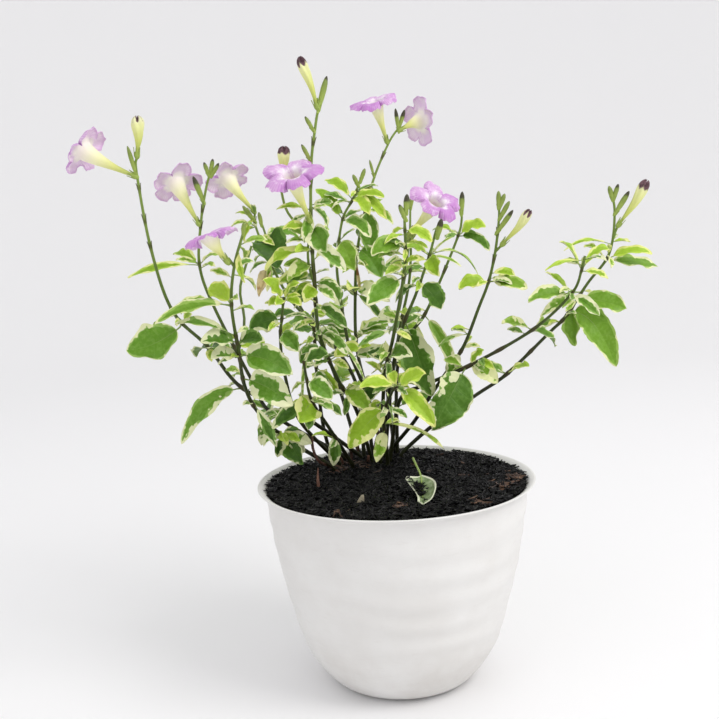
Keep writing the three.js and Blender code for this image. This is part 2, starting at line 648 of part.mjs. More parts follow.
const INNER_HEIGHTS = [126, 90, 44, 24, 10];
const innerRadius = (height) => wallRadius(height) - mix(WALL * 1.5, WALL, Math.min(1, height / 28));
const potRings = [0, 3, 8, 16, 26].map((height) => ring(wallRadius(height), height, 0));
const RIPPLES_FROM = 36;
const rippleRows = Math.floor((POT_HEIGHT - 6 - RIPPLES_FROM) / (RIPPLE_PITCH / 2));
for (let i = 0; i <= rippleRows; i += 1) {
  const height = RIPPLES_FROM + i * (RIPPLE_PITCH / 2);
  potRings.push(ring(wallRadius(height) + (i % 2 === 0 ? 0 : RIPPLE_DEPTH), height, 0.9));
}
potRings.push(
  ring(RIM_RADIUS - LIP_FLARE, POT_HEIGHT - 3.6, 0),
  ring(RIM_RADIUS, POT_HEIGHT - 0.7, 0),
  ring(RIM_RADIUS - 0.5, POT_HEIGHT, 0),
  ring(RIM_RADIUS - 1.6, POT_HEIGHT - 0.1, 0),
  ring(RIM_RADIUS - LIP_FLARE, POT_HEIGHT - 2.2, 0),
  ...INNER_HEIGHTS.map((height) => ring(innerRadius(height), height, 0)),
  ring(wallRadius(0) - 2, FLOOR, 0),
);
let potSolid = loft(potRings, false);
for (let k = 0; k < DRAIN_COUNT; k += 1) {
  const turn = (k / DRAIN_COUNT) * Math.PI * 2 + 0.3;
  const x = DRAIN_CIRCLE * Math.cos(turn);
  const y = DRAIN_CIRCLE * Math.sin(turn);
  const drill = [[0, DRAIN_RADIUS], [1, DRAIN_RADIUS]];
  potSolid = potSolid.subtract(spindle([x, y, FOOT_LEVEL - 2], [x, y, FOOT_LEVEL + 6], drill, 6));
}

// Burnt rice-husk compost fills the pot to the rim, slightly domed and rough on top.
const FALLEN_BED = { x: 14, y: -54, z: 121.2, radius: 9 };
const SOIL_RADIUS = RIM_RADIUS - LIP_FLARE;
function soilTop(x, y) {
  const dome = SOIL_EDGE + SOIL_DOME * (1 - (x * x + y * y) / (SOIL_RADIUS ** 2));
  const rough = SOIL_RELIEF * (0.6 * Math.sin(x * 0.31 + 1.2 * Math.sin(y * 0.17)) * Math.cos(y * 0.27)
    + 0.4 * Math.sin(x * 0.53 + y * 0.47));
  const away = Math.hypot(x - FALLEN_BED.x, y - FALLEN_BED.y);
  const calm = Math.min(1, Math.max(0, (away - FALLEN_BED.radius) / 8));
  return mix(FALLEN_BED.z, dome + rough, calm);
}

const soilRings = [ring(wallRadius(0) - 2 - GAP, FLOOR + GAP, 0)];
for (const height of [...INNER_HEIGHTS].reverse()) {
  soilRings.push(ring(innerRadius(height) - GAP * 1.4, height, 0));
}
for (const radius of [SOIL_RADIUS - 0.7, 76, 64, 52, 40, 28, 14]) {
  const level = ring(radius, 0, 0);
  const edge = radius > 80;
  soilRings.push(level.map((p) => vec(p.x, p.y, edge ? RIM_LEVEL - 2.4 : soilTop(p.x, p.y))));
}
let soilSolid = loft(soilRings, false);
const HOLE_RADIUS = STEM_RADIUS_LOW + GAP / Math.cos(Math.PI / STEM_SIDES);
for (const { foot: [x, y] } of Object.values(STEMS)) {
  const ends = [[0, HOLE_RADIUS], [1, HOLE_RADIUS]];
  const hole = spindle([x, y, STEM_FOOT - GAP], [x, y, 130], ends, STEM_SIDES);
  soilSolid = soilSolid.subtract(hole);
}

// One cast leaf lies on the compost at the front, cupped, with its stalk reaching back towards the stems.
// Each row holds the midrib, then how far the left and the right edge stand out and up from it.
const CAST_LEAF = [
  { rib: [11.5, -3, 135.5], left: [-0.6, 0], right: [0.6, 0] },
  { rib: [14.6, -31, 131.2], left: [-0.9, 0], right: [0.9, 0] },
  { rib: [14.5, -38, 126.8], left: [-9.6, 5.4], right: [7.2, 4.4] },
  { rib: [14.2, -49, 122.3], left: [-6.8, 4.6], right: [8.6, 7.4] },
  { rib: [13.8, -57, 121.9], left: [-3.4, 1.6], right: [5, 3.4] },
  { rib: [13.6, -61, 122.2], left: [-0.9, 0.2], right: [0.9, 0.3] },
];
const castLeafRings = CAST_LEAF.map(({ rib: [x, y, z], left, right }) => [
  vec(x + left[0], y, z + left[1] + BLADE / 2),
  vec(x, y, z + BLADE / 2),
  vec(x + right[0], y, z + right[1] + BLADE / 2),
  vec(x + right[0], y, z + right[1] - BLADE / 2),
  vec(x, y, z - BLADE / 2),
  vec(x + left[0], y, z + left[1] - BLADE / 2),
]);

function meshOf(name, solid, colour, roughness) {
  const { vertProperties, triVerts } = solid.getMesh();
  let geometry = new THREE.BufferGeometry();
  geometry.setAttribute('position', new THREE.BufferAttribute(new Float32Array(vertProperties), 3));
  geometry.setIndex(new THREE.BufferAttribute(new Uint32Array(triVerts), 1));
  geometry = mergeVertices(geometry, 1e-4);
  const material = new THREE.MeshStandardMaterial({ color: colour, roughness, metalness: 0 });
  const mesh = new THREE.Mesh(geometry, material);
  mesh.name = name;
  return mesh;
}

const part = new THREE.Group();
part.name = 'potted_variegated_chinese_violet';
const plant = new THREE.Group();
plant.position.z = -FOOT_LEVEL;
part.add(plant);
plant.add(meshOf('pot', potSolid, 0xe4e4e1, 0.45));
plant.add(meshOf('soil', soilSolid, 0x1c1a18, 0.95));
plant.add(meshOf('fallen_leaf', loft(castLeafRings, true), 0x4a6b2c, 0.55));

for (const name of Object.keys(STEMS)) {
  const pieces = [tube(paths[name], STEM_RADIUS_LOW, STEM_RADIUS_TOP, STEM_SIDES)];
  for (const [stem, route] of SHOOTS) {
    if (stem === name) {
      pieces.push(tube(spline(route, 1), 1, 0.9, STEM_SIDES));
    }
  }
  for (const leaf of leaves) {
    if (leaf.stem === name) {
      pieces.push(leafSolid(leaf));
    }
  }
  for (const [stem, foot, tip, thickness] of GREEN_BUDS) {
    if (stem === name) {
      pieces.push(spindle(foot, tip, [[-0.1, 0.5], [0.5, thickness / 1.4], [1, 0.45]], 5));
    }
  }
  for (const [stem, foot, throat] of [...Object.values(BLOOMS), ...Object.values(BUDS)]) {
    if (stem === name) {
      pieces.push(calyx(foot, throat));
    }
  }
  plant.add(meshOf(name, fuse(pieces), 0x5d8a2f, 0.5));
}

for (const [name, [, foot, throat, face, turn]] of Object.entries(BLOOMS)) {
  plant.add(meshOf(name, corolla(foot, throat, face, turn), 0xcf9fdc, 0.55));
}

for (const [name, [, foot, tip, thickness]] of Object.entries(BUDS)) {
  const start = vec(...foot);
  const way = vec(...tip).sub(start).normalize();
  const first = start.clone().addScaledVector(way, CALYX_FLOOR + GAP).toArray();
  const full = thickness;
  const shape = [[0, 1], [0.16, 1.05], [0.45, 0.75 * full], [0.72, full], [0.92, 0.8 * full], [1, 0.4 * full]];
  plant.add(meshOf(name, spindle(first, tip, shape, 7), 0xe8e4b4, 0.5));
}

export default part;
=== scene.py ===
import math
import random

import bpy
import numpy as np
from mathutils import Matrix, Vector, noise


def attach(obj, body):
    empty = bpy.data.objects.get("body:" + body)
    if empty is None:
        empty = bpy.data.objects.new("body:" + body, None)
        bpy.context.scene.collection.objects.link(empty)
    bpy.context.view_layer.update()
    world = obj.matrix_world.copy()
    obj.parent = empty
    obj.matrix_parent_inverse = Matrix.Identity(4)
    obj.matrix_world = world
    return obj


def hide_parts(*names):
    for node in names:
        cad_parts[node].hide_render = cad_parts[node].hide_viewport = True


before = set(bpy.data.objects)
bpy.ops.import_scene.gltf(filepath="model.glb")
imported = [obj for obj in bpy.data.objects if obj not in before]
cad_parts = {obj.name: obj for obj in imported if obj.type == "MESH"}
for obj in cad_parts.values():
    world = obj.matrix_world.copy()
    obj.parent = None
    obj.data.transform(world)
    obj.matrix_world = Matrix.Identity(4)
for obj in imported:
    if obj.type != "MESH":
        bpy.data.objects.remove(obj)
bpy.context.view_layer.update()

# The picture is taken from a little above the pot, about 63 cm away, with the camera tipped
# down by almost nine degrees and leaning slightly to one side.
picture_width = 719
focal_pixels = 1000
sensor_width = 36
camera_tilt = math.radians(90 - 8.7)
camera_lean = math.radians(-2.58)
camera_place = (-0.0202, -0.633, 0.309)
camera_data = bpy.data.cameras.new("camera")
camera_data.sensor_width = sensor_width
camera_data.lens = focal_pixels / picture_width * sensor_width
camera_data.clip_start = 0.01
camera = bpy.data.objects.new("camera", camera_data)
bpy.context.collection.objects.link(camera)
camera.location = camera_place
lean = Matrix.Rotation(camera_tilt, 3, "X") @ Matrix.Rotation(camera_lean, 3, "Z")
camera.rotation_euler = lean.to_euler()
bpy.context.scene.camera = camera

# The pot stands in a bright white room on a plain pale floor that sweeps up all round without
# an edge. A large soft lamp high on the right and a faint one on the left leave the left side of
# the pot a little greyer.
bpy.context.scene.view_settings.view_transform = "Standard"
room = bpy.data.worlds.new("room")
room.use_nodes = True
wall_light = room.node_tree.nodes["Background"]
wall_light.inputs["Color"].default_value = (0.9, 0.9, 0.91, 1)
wall_light.inputs["Strength"].default_value = 1.0
bpy.context.scene.world = room
lamp_aim = Vector((0, 0, 0.18))


def hang_lamp(name, place, size, power, warmth):
    lamp = bpy.data.lights.new(name, "AREA")
    lamp.size = size
    lamp.energy = power
    lamp.color = warmth
    hung = bpy.data.objects.new(name, lamp)
    bpy.context.collection.objects.link(hung)
    hung.location = place
    hung.rotation_euler = (lamp_aim - Vector(place)).to_track_quat("-Z", "Y").to_euler()


hang_lamp("window", (1.1, -0.7, 1.5), 0.9, 15, (1.0, 0.99, 0.97))
hang_lamp("bounce", (-1.1, -1.0, 0.9), 1.2, 1.5, (0.97, 0.98, 1.0))

MM = 0.001
turned_steps = 168
floor_reach = 1400
sweep_radius = 1500
floor_sweep = [(0, 0)]
for degrees in range(0, 91, 5):
    climb = math.radians(degrees)
    outward = floor_reach + sweep_radius * math.sin(climb)
    floor_sweep.append((outward, sweep_radius * (1 - math.cos(climb))))


def turned(name, profile, steps=turned_steps):
    """Draws a profile of (radius, height) in mm, edge by edge, and spins it once round the middle."""
    bpy.ops.object.select_all(action="DESELECT")
    bpy.ops.mesh.primitive_plane_add(size=0.01)
    piece = bpy.context.object
    piece.name = name
    bpy.ops.object.mode_set(mode="EDIT")
    bpy.ops.mesh.merge(type="CENTER")
    radius, height = profile[0]
    bpy.ops.transform.translate(value=(radius * MM, 0, height * MM))
    for onward in profile[1:]:
        step = ((onward[0] - radius) * MM, 0, (onward[1] - height) * MM)
        bpy.ops.mesh.extrude_region_move(TRANSFORM_OT_translate={"value": step})
        radius, height = onward
    bpy.ops.mesh.select_all(action="SELECT")
    bpy.ops.mesh.spin(steps=steps, angle=math.tau, center=(0, 0, 0), axis=(0, 0, 1))
    bpy.ops.mesh.select_all(action="SELECT")
    bpy.ops.mesh.remove_doubles(threshold=1e-6)
    bpy.ops.mesh.normals_make_consistent(inside=False)
    bpy.ops.object.mode_set(mode="OBJECT")
    return piece


def pick(piece):
    """Selects one piece and nothing else."""
    bpy.ops.object.select_all(action="DESELECT")
    piece.select_set(True)
    bpy.context.view_layer.objects.active = piece


def smooth(piece, angle):
    pick(piece)
    bpy.ops.object.shade_smooth_by_angle(angle=math.radians(angle))


floor = turned("floor", floor_sweep, 64)
smooth(floor, 60)
floor_finish = bpy.data.materials.new("painted_floor")
floor_finish.use_nodes = True
floor_shader = floor_finish.node_tree.nodes["Principled BSDF"]
floor_shader.inputs["Base Color"].default_value = (0.86, 0.855, 0.86, 1)
floor_shader.inputs["Roughness"].default_value = 0.7
floor.data.materials.append(floor_finish)

# The pot is thin white plastic, turned wider towards a small flared lip, with soft uneven
# ripples pressed round its wall, a well rounded foot and six drain holes in its floor.
pot_height = 133
rim_radius = 90
lip_flare = 5
pot_wall = 1.8
pot_floor = 2
ripple_depth = 0.9
ripple_pitch = 17
ripple_start = 12
wall_top = 129
drain_count = 6
drain_circle = 26
drain_radius = 3.5
pot_outline = [
    (40, 0), (46.5, 3), (51.5, 8), (57.5, 16), (63, 26), (68, 40), (72, 56), (76, 72), (79.2, 88),
    (81.6, 104), (83.4, 118), (84.8, 128), (85.4, pot_height),
]


def smooth_path(route, steps):
    """A smooth line through given points."""
    pts = [np.array(p, float) for p in route]
    pts = [2 * pts[0] - pts[1], *pts, 2 * pts[-1] - pts[-2]]
    path = []
    for a, b, c, d in zip(pts, pts[1:], pts[2:], pts[3:]):
        for k in range(steps):
            t = k / steps
            bend = 2 * a - 5 * b + 4 * c - d
            path.append((2 * b + (c - a) * t + bend * t * t + (3 * b - a - 3 * c + d) * t ** 3) / 2)
    path.append(pts[-2])
    return np.array(path)


wall_line = smooth_path(pot_outline, 8)


def wall_radius(height):
    return np.interp(height, wall_line[:, 1], wall_line[:, 0])


def inner_radius(height):
    thick_foot = np.clip(height / 28, 0, 1)
    return wall_radius(height) - pot_wall * (1.5 - 0.5 * thick_foot)


def drawn(piece):
    """The mesh's own points, as they were drawn."""
    flat = np.empty(len(piece.data.vertices) * 3)
    piece.data.vertices.foreach_get("co", flat)
    return flat.reshape(-1, 3)


def redraw(piece, points):
    piece.data.vertices.foreach_set("co", np.ascontiguousarray(points).ravel())
    piece.data.update()


class Finish:
    """A procedural material, wired node by node."""

    def __init__(self, name, **sockets):
        self.material = bpy.data.materials.new(name)
        self.material.use_nodes = True
        self.tree = self.material.node_tree
        self.shader = self.tree.nodes["Principled BSDF"]
        for socket, value in sockets.items():
            self.shader.inputs[socket.replace("_", " ")].default_value = value

    def join(self, value, socket):
        if isinstance(value, bpy.types.NodeSocket):
            self.tree.links.new(value, socket)
        elif value is not None:
            socket.default_value = value

    def place(self):
        return self.tree.nodes.new("ShaderNodeTexCoord").outputs["Object"]

    def stretch(self, place, scale):
        node = self.tree.nodes.new("ShaderNodeMapping")
        node.inputs["Scale"].default_value = scale
        self.join(place, node.inputs["Vector"])
        return node.outputs["Vector"]

    def cloud(self, place, scale, detail=3, rough=0.5):
        node = self.tree.nodes.new("ShaderNodeTexNoise")
        node.inputs["Scale"].default_value = scale
        node.inputs["Detail"].default_value = detail
        node.inputs["Roughness"].default_value = rough
        self.join(place, node.inputs["Vector"])
        return node.outputs["Fac"]

    def sum(self, kind, a, b=0.5, c=0.5, clamp=False):
        node = self.tree.nodes.new("ShaderNodeMath")
        node.operation = kind
        node.use_clamp = clamp
        for value, socket in zip((a, b, c), node.inputs):
            self.join(value, socket)
        return node.outputs[0]

    def ramp(self, value, low, high, start=0.0, end=1.0):
        node = self.tree.nodes.new("ShaderNodeMapRange")
        node.interpolation_type = "SMOOTHSTEP"
        for key, number in zip(("From Min", "From Max", "To Min", "To Max"), (low, high, start, end)):
            self.join(number, node.inputs[key])
        self.join(value, node.inputs["Value"])
        return node.outputs["Result"]

    def blend(self, share, a, b):
        node = self.tree.nodes.new("ShaderNodeMix")
        node.data_type = "RGBA"
        self.join(share, node.inputs["Factor"])
        self.join(a, node.inputs[6])
        self.join(b, node.inputs[7])
        return node.outputs[2]

    def shades(self, value, stops):
        node = self.tree.nodes.new("ShaderNodeValToRGB")
        band = node.color_ramp
        while len(band.elements) < len(stops):
            band.elements.new(0.5)
        for element, (where, colour) in zip(band.elements, stops):
            element.position = where
            element.color = colour
        self.join(value, node.inputs["Fac"])
        return node.outputs["Color"]

    def note(self, name):
        """The red, green, blue and alpha of a piece's own colour attribute."""
        node = self.tree.nodes.new("ShaderNodeAttribute")
        node.attribute_name = name
        parts = self.tree.nodes.new("ShaderNodeSeparateColor")
        self.join(node.outputs["Color"], parts.inputs["Color"])
        return [*parts.outputs[:3], node.outputs["Alpha"]]

    def height_of(self, place):
        node = self.tree.nodes.new("ShaderNodeSeparateXYZ")
        self.join(place, node.inputs["Vector"])
        return node.outputs["Z"]

    def relief(self, height, strength, reach):
        node = self.tree.nodes.new("ShaderNodeBump")
        node.inputs["Strength"].default_value = strength
        node.inputs["Distance"].default_value = reach
        self.join(height, node.inputs["Height"])
        self.join(node.outputs["Normal"], self.shader.inputs["Normal"])

    def colour(self, value):
        self.join(value, self.shader.inputs["Base Color"])

    def rough(self, value):
        self.join(value, self.shader.inputs["Roughness"])


def rgb(red, green, blue):
    """A colour as it is seen, 0 to 255, turned into the light it reflects."""
    seen = (red / 255, green / 255, blue / 255)
    return (*(c / 12.92 if c <= 0.04045 else ((c + 0.055) / 1.055) ** 2.4 for c in seen), 1)


outer_wall = [(wall_radius(z), z) for z in [*np.arange(1, 10, 1), *np.arange(10, wall_top, 1.5)]]
lip = [
    (84.9, wall_top), (85.5, 129.9), (86.8, 130.8), (88.4, 131.6), (89.5, 132), (rim_radius, 132.4),
    (rim_radius - 0.2, 132.8), (rim_radius - 0.8, pot_height), (88.6, 132.9), (87, 132.1), (85.6, 131.2),
    (84.4, 130),
]
inner_wall = [(inner_radius(z), z) for z in (128, 126, 110, 90, 66, 44, 32, 24, 17, 10, 6, 3.6)]
pot = turned("nursery_pot", [
    (0, 0.5), (35, 0.5), (36.6, 0), (40, 0),
    *outer_wall, *lip, *inner_wall, (38, pot_floor), (0, pot_floor),
])
skin = drawn(pot) / MM
turn = np.arctan2(skin[:, 1], skin[:, 0])
reach = np.hypot(skin[:, 0], skin[:, 1])
up = skin[:, 2]
on_wall = (up > ripple_start) & (up < wall_top) & (reach > wall_radius(up) - 0.6)
wander = 2.4 * np.sin(2 * turn + 0.045 * up) + 1.9 * np.sin(3 * turn + 1.3 - 0.03 * up)
wander += 0.8 * np.sin(7 * turn)
swell = 0.55 + 0.45 * np.sin(turn + 0.09 * up + 0.6) * np.sin(3 * turn + 0.05 * up)
wave = 0.5 - 0.5 * np.cos(math.tau * (up - 36 + wander) / ripple_pitch)
fade = np.clip((wall_top - up) / 12, 0, 1) * np.clip((up - ripple_start) / 24, 0, 1)
grow = np.where(on_wall, ripple_depth * swell * wave * fade, 0) / np.maximum(reach, 1)
skin[:, :2] *= 1 + grow[:, None]
redraw(pot, skin * MM)

bpy.ops.object.select_all(action="DESELECT")
for hole in range(drain_count):
    spin = hole / drain_count * math.tau + 0.3
    middle = (drain_circle * MM * math.cos(spin), drain_circle * MM * math.sin(spin), 0)
    bpy.ops.mesh.primitive_cylinder_add(vertices=24, radius=drain_radius * MM, depth=0.02, location=middle)
    drill = bpy.context.object
    cut = pot.modifiers.new("drain", "BOOLEAN")
    cut.operation = "DIFFERENCE"
    cut.object = drill
    bpy.context.view_layer.objects.active = pot
    bpy.ops.object.modifier_apply(modifier="drain")
    bpy.data.objects.remove(drill)
smooth(pot, 35)

plastic = Finish("white_pot_plastic", IOR=1.47)
place = plastic.place()
mottle = plastic.cloud(place, 22, 4, 0.6)
scuff = plastic.cloud(plastic.stretch(place, (30, 30, 160)), 3, 5, 0.65)
# The wall darkens in patches towards its foot, within the lowest 5 cm: painted shade where the pot meets the
# floor.
low_painted_shade = plastic.ramp(plastic.height_of(place), 0.0, 0.05, 1.0, 0.0)
painted_foot_shade = plastic.sum("MULTIPLY", low_painted_shade, plastic.ramp(mottle, 0.35, 0.75))
body = plastic.blend(plastic.ramp(mottle, 0.3, 0.75), rgb(226, 225, 223), rgb(219, 217, 214))
body = plastic.blend(plastic.ramp(scuff, 0.55, 0.8, 0.0, 0.25), body, rgb(206, 202, 197))
plastic.colour(plastic.blend(plastic.sum("MULTIPLY", painted_foot_shade, 0.45), body, rgb(186, 180, 172)))
plastic.rough(plastic.ramp(scuff, 0.3, 0.8, 0.34, 0.5))
grain = plastic.sum("ADD", plastic.cloud(place, 900, 2), plastic.sum("MULTIPLY", scuff, 0.8))
plastic.relief(grain, 0.1, 0.0004)
pot.data.materials.append(plastic.material)
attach(pot, "root")
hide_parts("pot")

# The pot is filled to the rim with burnt rice husk: a low dark mound, calm where a cast leaf
# lies, and covered all over with thin, boat-shaped husks a few millimetres long. From here on
# heights are measured with the rim at 122 mm, so all stands 11 mm higher, on the pot's foot.
rim_level = 122
plant_lift = pot_height - rim_level
soil_edge = 120.2
soil_dome = 1.6
soil_relief = 0.8
bed_gap = 0.42
soil_radius = rim_radius - lip_flare
cast_x = 14
cast_y = -54
cast_z = 121.2
cast_radius = 9


def set_in_place(piece, points):
    """Moves the mesh's points to places in mm, whose heights count from 11 mm below the foot."""
    redraw(piece, (points + (0, 0, plant_lift)) * MM)


def soil_top(x, y):
    """The height of the mound over a point, all in mm."""
    dome = soil_edge + soil_dome * (1 - (x * x + y * y) / soil_radius ** 2)
    rough = 0.6 * np.sin(x * 0.31 + 1.2 * np.sin(y * 0.17)) * np.cos(y * 0.27)
    rough = soil_relief * (rough + 0.4 * np.sin(x * 0.53 + y * 0.47))
    calm = np.clip((np.hypot(x - cast_x, y - cast_y) - cast_radius) / 8, 0, 1)
    return cast_z + (dome + rough - cast_z) * calm


top_level = 131
inner_rows = [(inner_radius(z) - bed_gap, z) for z in (10, 24, 44, 90, 126)]
top_rings = [(radius, top_level) for radius in np.arange(83, 0.5, -2)]
bed = turned("soil_bed", [
    (0, pot_floor + 0.3), (37.7, pot_floor + 0.3), *inner_rows, (soil_radius - 1.1, 129.6),
    *top_rings, (0, top_level),
])
mound = drawn(bed) / MM
on_top = mound[:, 2] > top_level - 0.1
crumbs = np.array([noise.noise(Vector(p) * 0.33) + 0.6 * noise.noise(Vector(p) * 0.8) for p in mound])
surface = soil_top(mound[:, 0], mound[:, 1]) + plant_lift - 0.9 + 0.5 * crumbs
mound[:, 2] = np.where(on_top, surface, mound[:, 2])
redraw(bed, mound * MM)
smooth(bed, 60)

char = Finish("burnt_husk_bed", Roughness=0.9, Specular_IOR_Level=0.08)
place = char.place()
fleck = char.cloud(place, 420, 4, 0.7)
char.colour(char.shades(fleck, [
    (0.0, rgb(3, 3, 3)), (0.5, rgb(6, 6, 6)), (0.72, rgb(13, 12, 12)), (0.8, rgb(24, 19, 17)),
]))
char.relief(fleck, 0.9, 0.002)
bed.data.materials.append(char.material)
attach(bed, "root")
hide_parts("soil")


def ringed(sides, cuts):
    """A cylinder one unit long, its long edges cut so that it can be bent and swollen."""
    bpy.ops.object.select_all(action="DESELECT")
    bpy.ops.mesh.primitive_cylinder_add(vertices=sides, radius=1, depth=1)
    piece = bpy.context.object
    bpy.ops.object.mode_set(mode="EDIT")
    bpy.ops.mesh.select_mode(type="EDGE")
    bpy.ops.mesh.select_all(action="DESELECT")
    bpy.ops.object.mode_set(mode="OBJECT")
    for edge in piece.data.edges:
        ends = [piece.data.vertices[i].co.z for i in edge.vertices]
        edge.select = abs(ends[0] - ends[1]) > 0.5
    bpy.ops.object.mode_set(mode="EDIT")
    bpy.ops.mesh.subdivide(number_cuts=cuts)
    bpy.ops.object.mode_set(mode="OBJECT")
    return piece


husk = ringed(4, 1)
bpy.ops.object.mode_set(mode="EDIT")
bpy.ops.mesh.quads_convert_to_tris()
bpy.ops.object.mode_set(mode="OBJECT")
husk_faces = np.array([list(face.vertices) for face in husk.data.polygons])
husk_points = drawn(husk)
narrow = 1 - 0.72 * np.abs(husk_points[:, 2]) * 2
husk_shape = np.column_stack([husk_points[:, 2], husk_points[:, 0] * narrow, husk_points[:, 1] * narrow])
husk_shape[:, 2] += 0.9 * (husk_points[:, 2] * 2) ** 2
bpy.data.objects.remove(husk)


def unit(v):
    return v / np.maximum(np.linalg.norm(v, axis=-1, keepdims=True), 1e-9)


def strewn(name, spots, headings, pitches, rolls, lengths, widths):
    """Lays a copy of the husk at every spot, all in one mesh."""
    ahead = np.column_stack([np.cos(headings) * np.cos(pitches), np.sin(headings) * np.cos(pitches),
                             np.sin(pitches)])
    flat = unit(np.column_stack([-np.sin(headings), np.cos(headings), np.zeros(len(spots))]))
    over = np.cross(ahead, flat)
    across = flat * np.cos(rolls)[:, None] + over * np.sin(rolls)[:, None]
    over = np.cross(ahead, across)
    points = spots[:, None, :] + ahead[:, None, :] * (husk_shape[None, :, 0:1] * lengths[:, None, None])
    points = points + across[:, None, :] * (husk_shape[None, :, 1:2] * widths[:, None, None] / 2)
    points = points + over[:, None, :] * (husk_shape[None, :, 2:3] * widths[:, None, None] / 3)
    points = points + (0, 0, plant_lift)
    faces = husk_faces[None, :, :] + (np.arange(len(spots)) * len(husk_shape))[:, None, None]
    mesh = bpy.data.meshes.new(name)
    mesh.from_pydata((points.reshape(-1, 3) * MM).tolist(), [], faces.reshape(-1, 3).tolist())
    piece = bpy.data.objects.new(name, mesh)
    bpy.context.collection.objects.link(piece)
    return piece


sow = np.random.default_rng(11)
burnt = Finish("burnt_husk", Specular_IOR_Level=0.24)
place = burnt.place()
streak = burnt.cloud(place, 700, 3, 0.6)
patch = burnt.cloud(place, 170, 3, 0.6)
painted_glint = burnt.cloud(place, 260, 2, 0.5)
# The husks are near black. The lighter grey of their streaks and the pale grey spots laid by painted_glint
# are painted glints of light on the shiny husks.
tone = burnt.shades(streak, [(0.35, rgb(1, 1, 2)), (0.6, rgb(6, 6, 7)), (0.8, rgb(34, 33, 34))])
tone = burnt.blend(burnt.ramp(painted_glint, 0.6, 0.68, 0.0, 0.8), tone, rgb(52, 50, 50))
burnt.colour(burnt.blend(burnt.ramp(patch, 0.64, 0.74, 0.0, 0.4), tone, rgb(40, 30, 24)))
burnt.rough(burnt.ramp(streak, 0.3, 0.7, 0.38, 0.75))
burnt.relief(streak, 0.5, 0.0005)
for name, husk_count, lowest, highest, slope, longest in (
        ("burnt_husks", 7400, -0.9, 0.6, 0.16, 7.4), ("burnt_husks_on_top", 2600, -0.2, 1.0, 0.4, 8.2)):
    radius = (soil_radius - 1.6) * np.sqrt(sow.uniform(0, 1, husk_count))
    angle = sow.uniform(0, math.tau, husk_count)
    spots = np.column_stack([radius * np.cos(angle), radius * np.sin(angle)])
    lifts = soil_top(spots[:, 0], spots[:, 1]) + sow.uniform(lowest, highest, husk_count)
    tilt = sow.normal(0, slope, husk_count)
    near_rim = radius > soil_radius - 6
    tilt = np.where(near_rim, tilt * 0.4, tilt)
    husks = strewn(name, np.column_stack([spots, lifts]), sow.uniform(0, math.tau, husk_count), tilt,
                   sow.uniform(-0.9, 0.9, husk_count), sow.uniform(3.6, longest, husk_count),
                   sow.uniform(1.1, 2.1, husk_count))
    husks.data.materials.append(burnt.material)
    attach(husks, "root")

# Some husks are only half burnt and stay brown. They lie in small drifts at the right edge, at
# the front edge and round the foot of the stems, with one pale chip among them.
drifts = [(77, -7, 7, 36), (66, -26, 7, 18), (50, -60, 7, 18), (-38, -69, 5, 10), (1, -60, 4, 9),
          (-30, 38, 9, 34), (-38, 26, 7, 14), (24, 12, 26, 7)]
brown_spots = []
for x, y, spread, number in drifts:
    for _ in range(number):
        brown_spots.append((sow.normal(x, spread * 0.6), sow.normal(y, spread * 0.6)))
brown_spots = np.array(brown_spots)
inside = np.hypot(brown_spots[:, 0], brown_spots[:, 1]) < soil_radius - 4
brown_spots = brown_spots[inside]
brown = len(brown_spots)
lifts = soil_top(brown_spots[:, 0], brown_spots[:, 1]) + 0.5 + sow.uniform(0, 0.6, brown)
raw = strewn("half_burnt_husks", np.column_stack([brown_spots, lifts]), sow.uniform(0, math.tau, brown),
             sow.normal(0, 0.15, brown), sow.uniform(-0.8, 0.8, brown), sow.uniform(4, 8, brown),
             sow.uniform(1.4, 2.6, brown))
straw = Finish("half_burnt_husk", Roughness=0.6)
place = straw.place()
scorch = straw.cloud(place, 160, 3, 0.6)
straw.colour(straw.shades(scorch, [
    (0.3, rgb(32, 24, 20)), (0.5, rgb(72, 50, 38)), (0.66, rgb(118, 88, 66)), (0.8, rgb(172, 146, 118)),
]))
straw.relief(straw.cloud(place, 900, 3), 0.5, 0.0004)
raw.data.materials.append(straw.material)
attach(raw, "root")
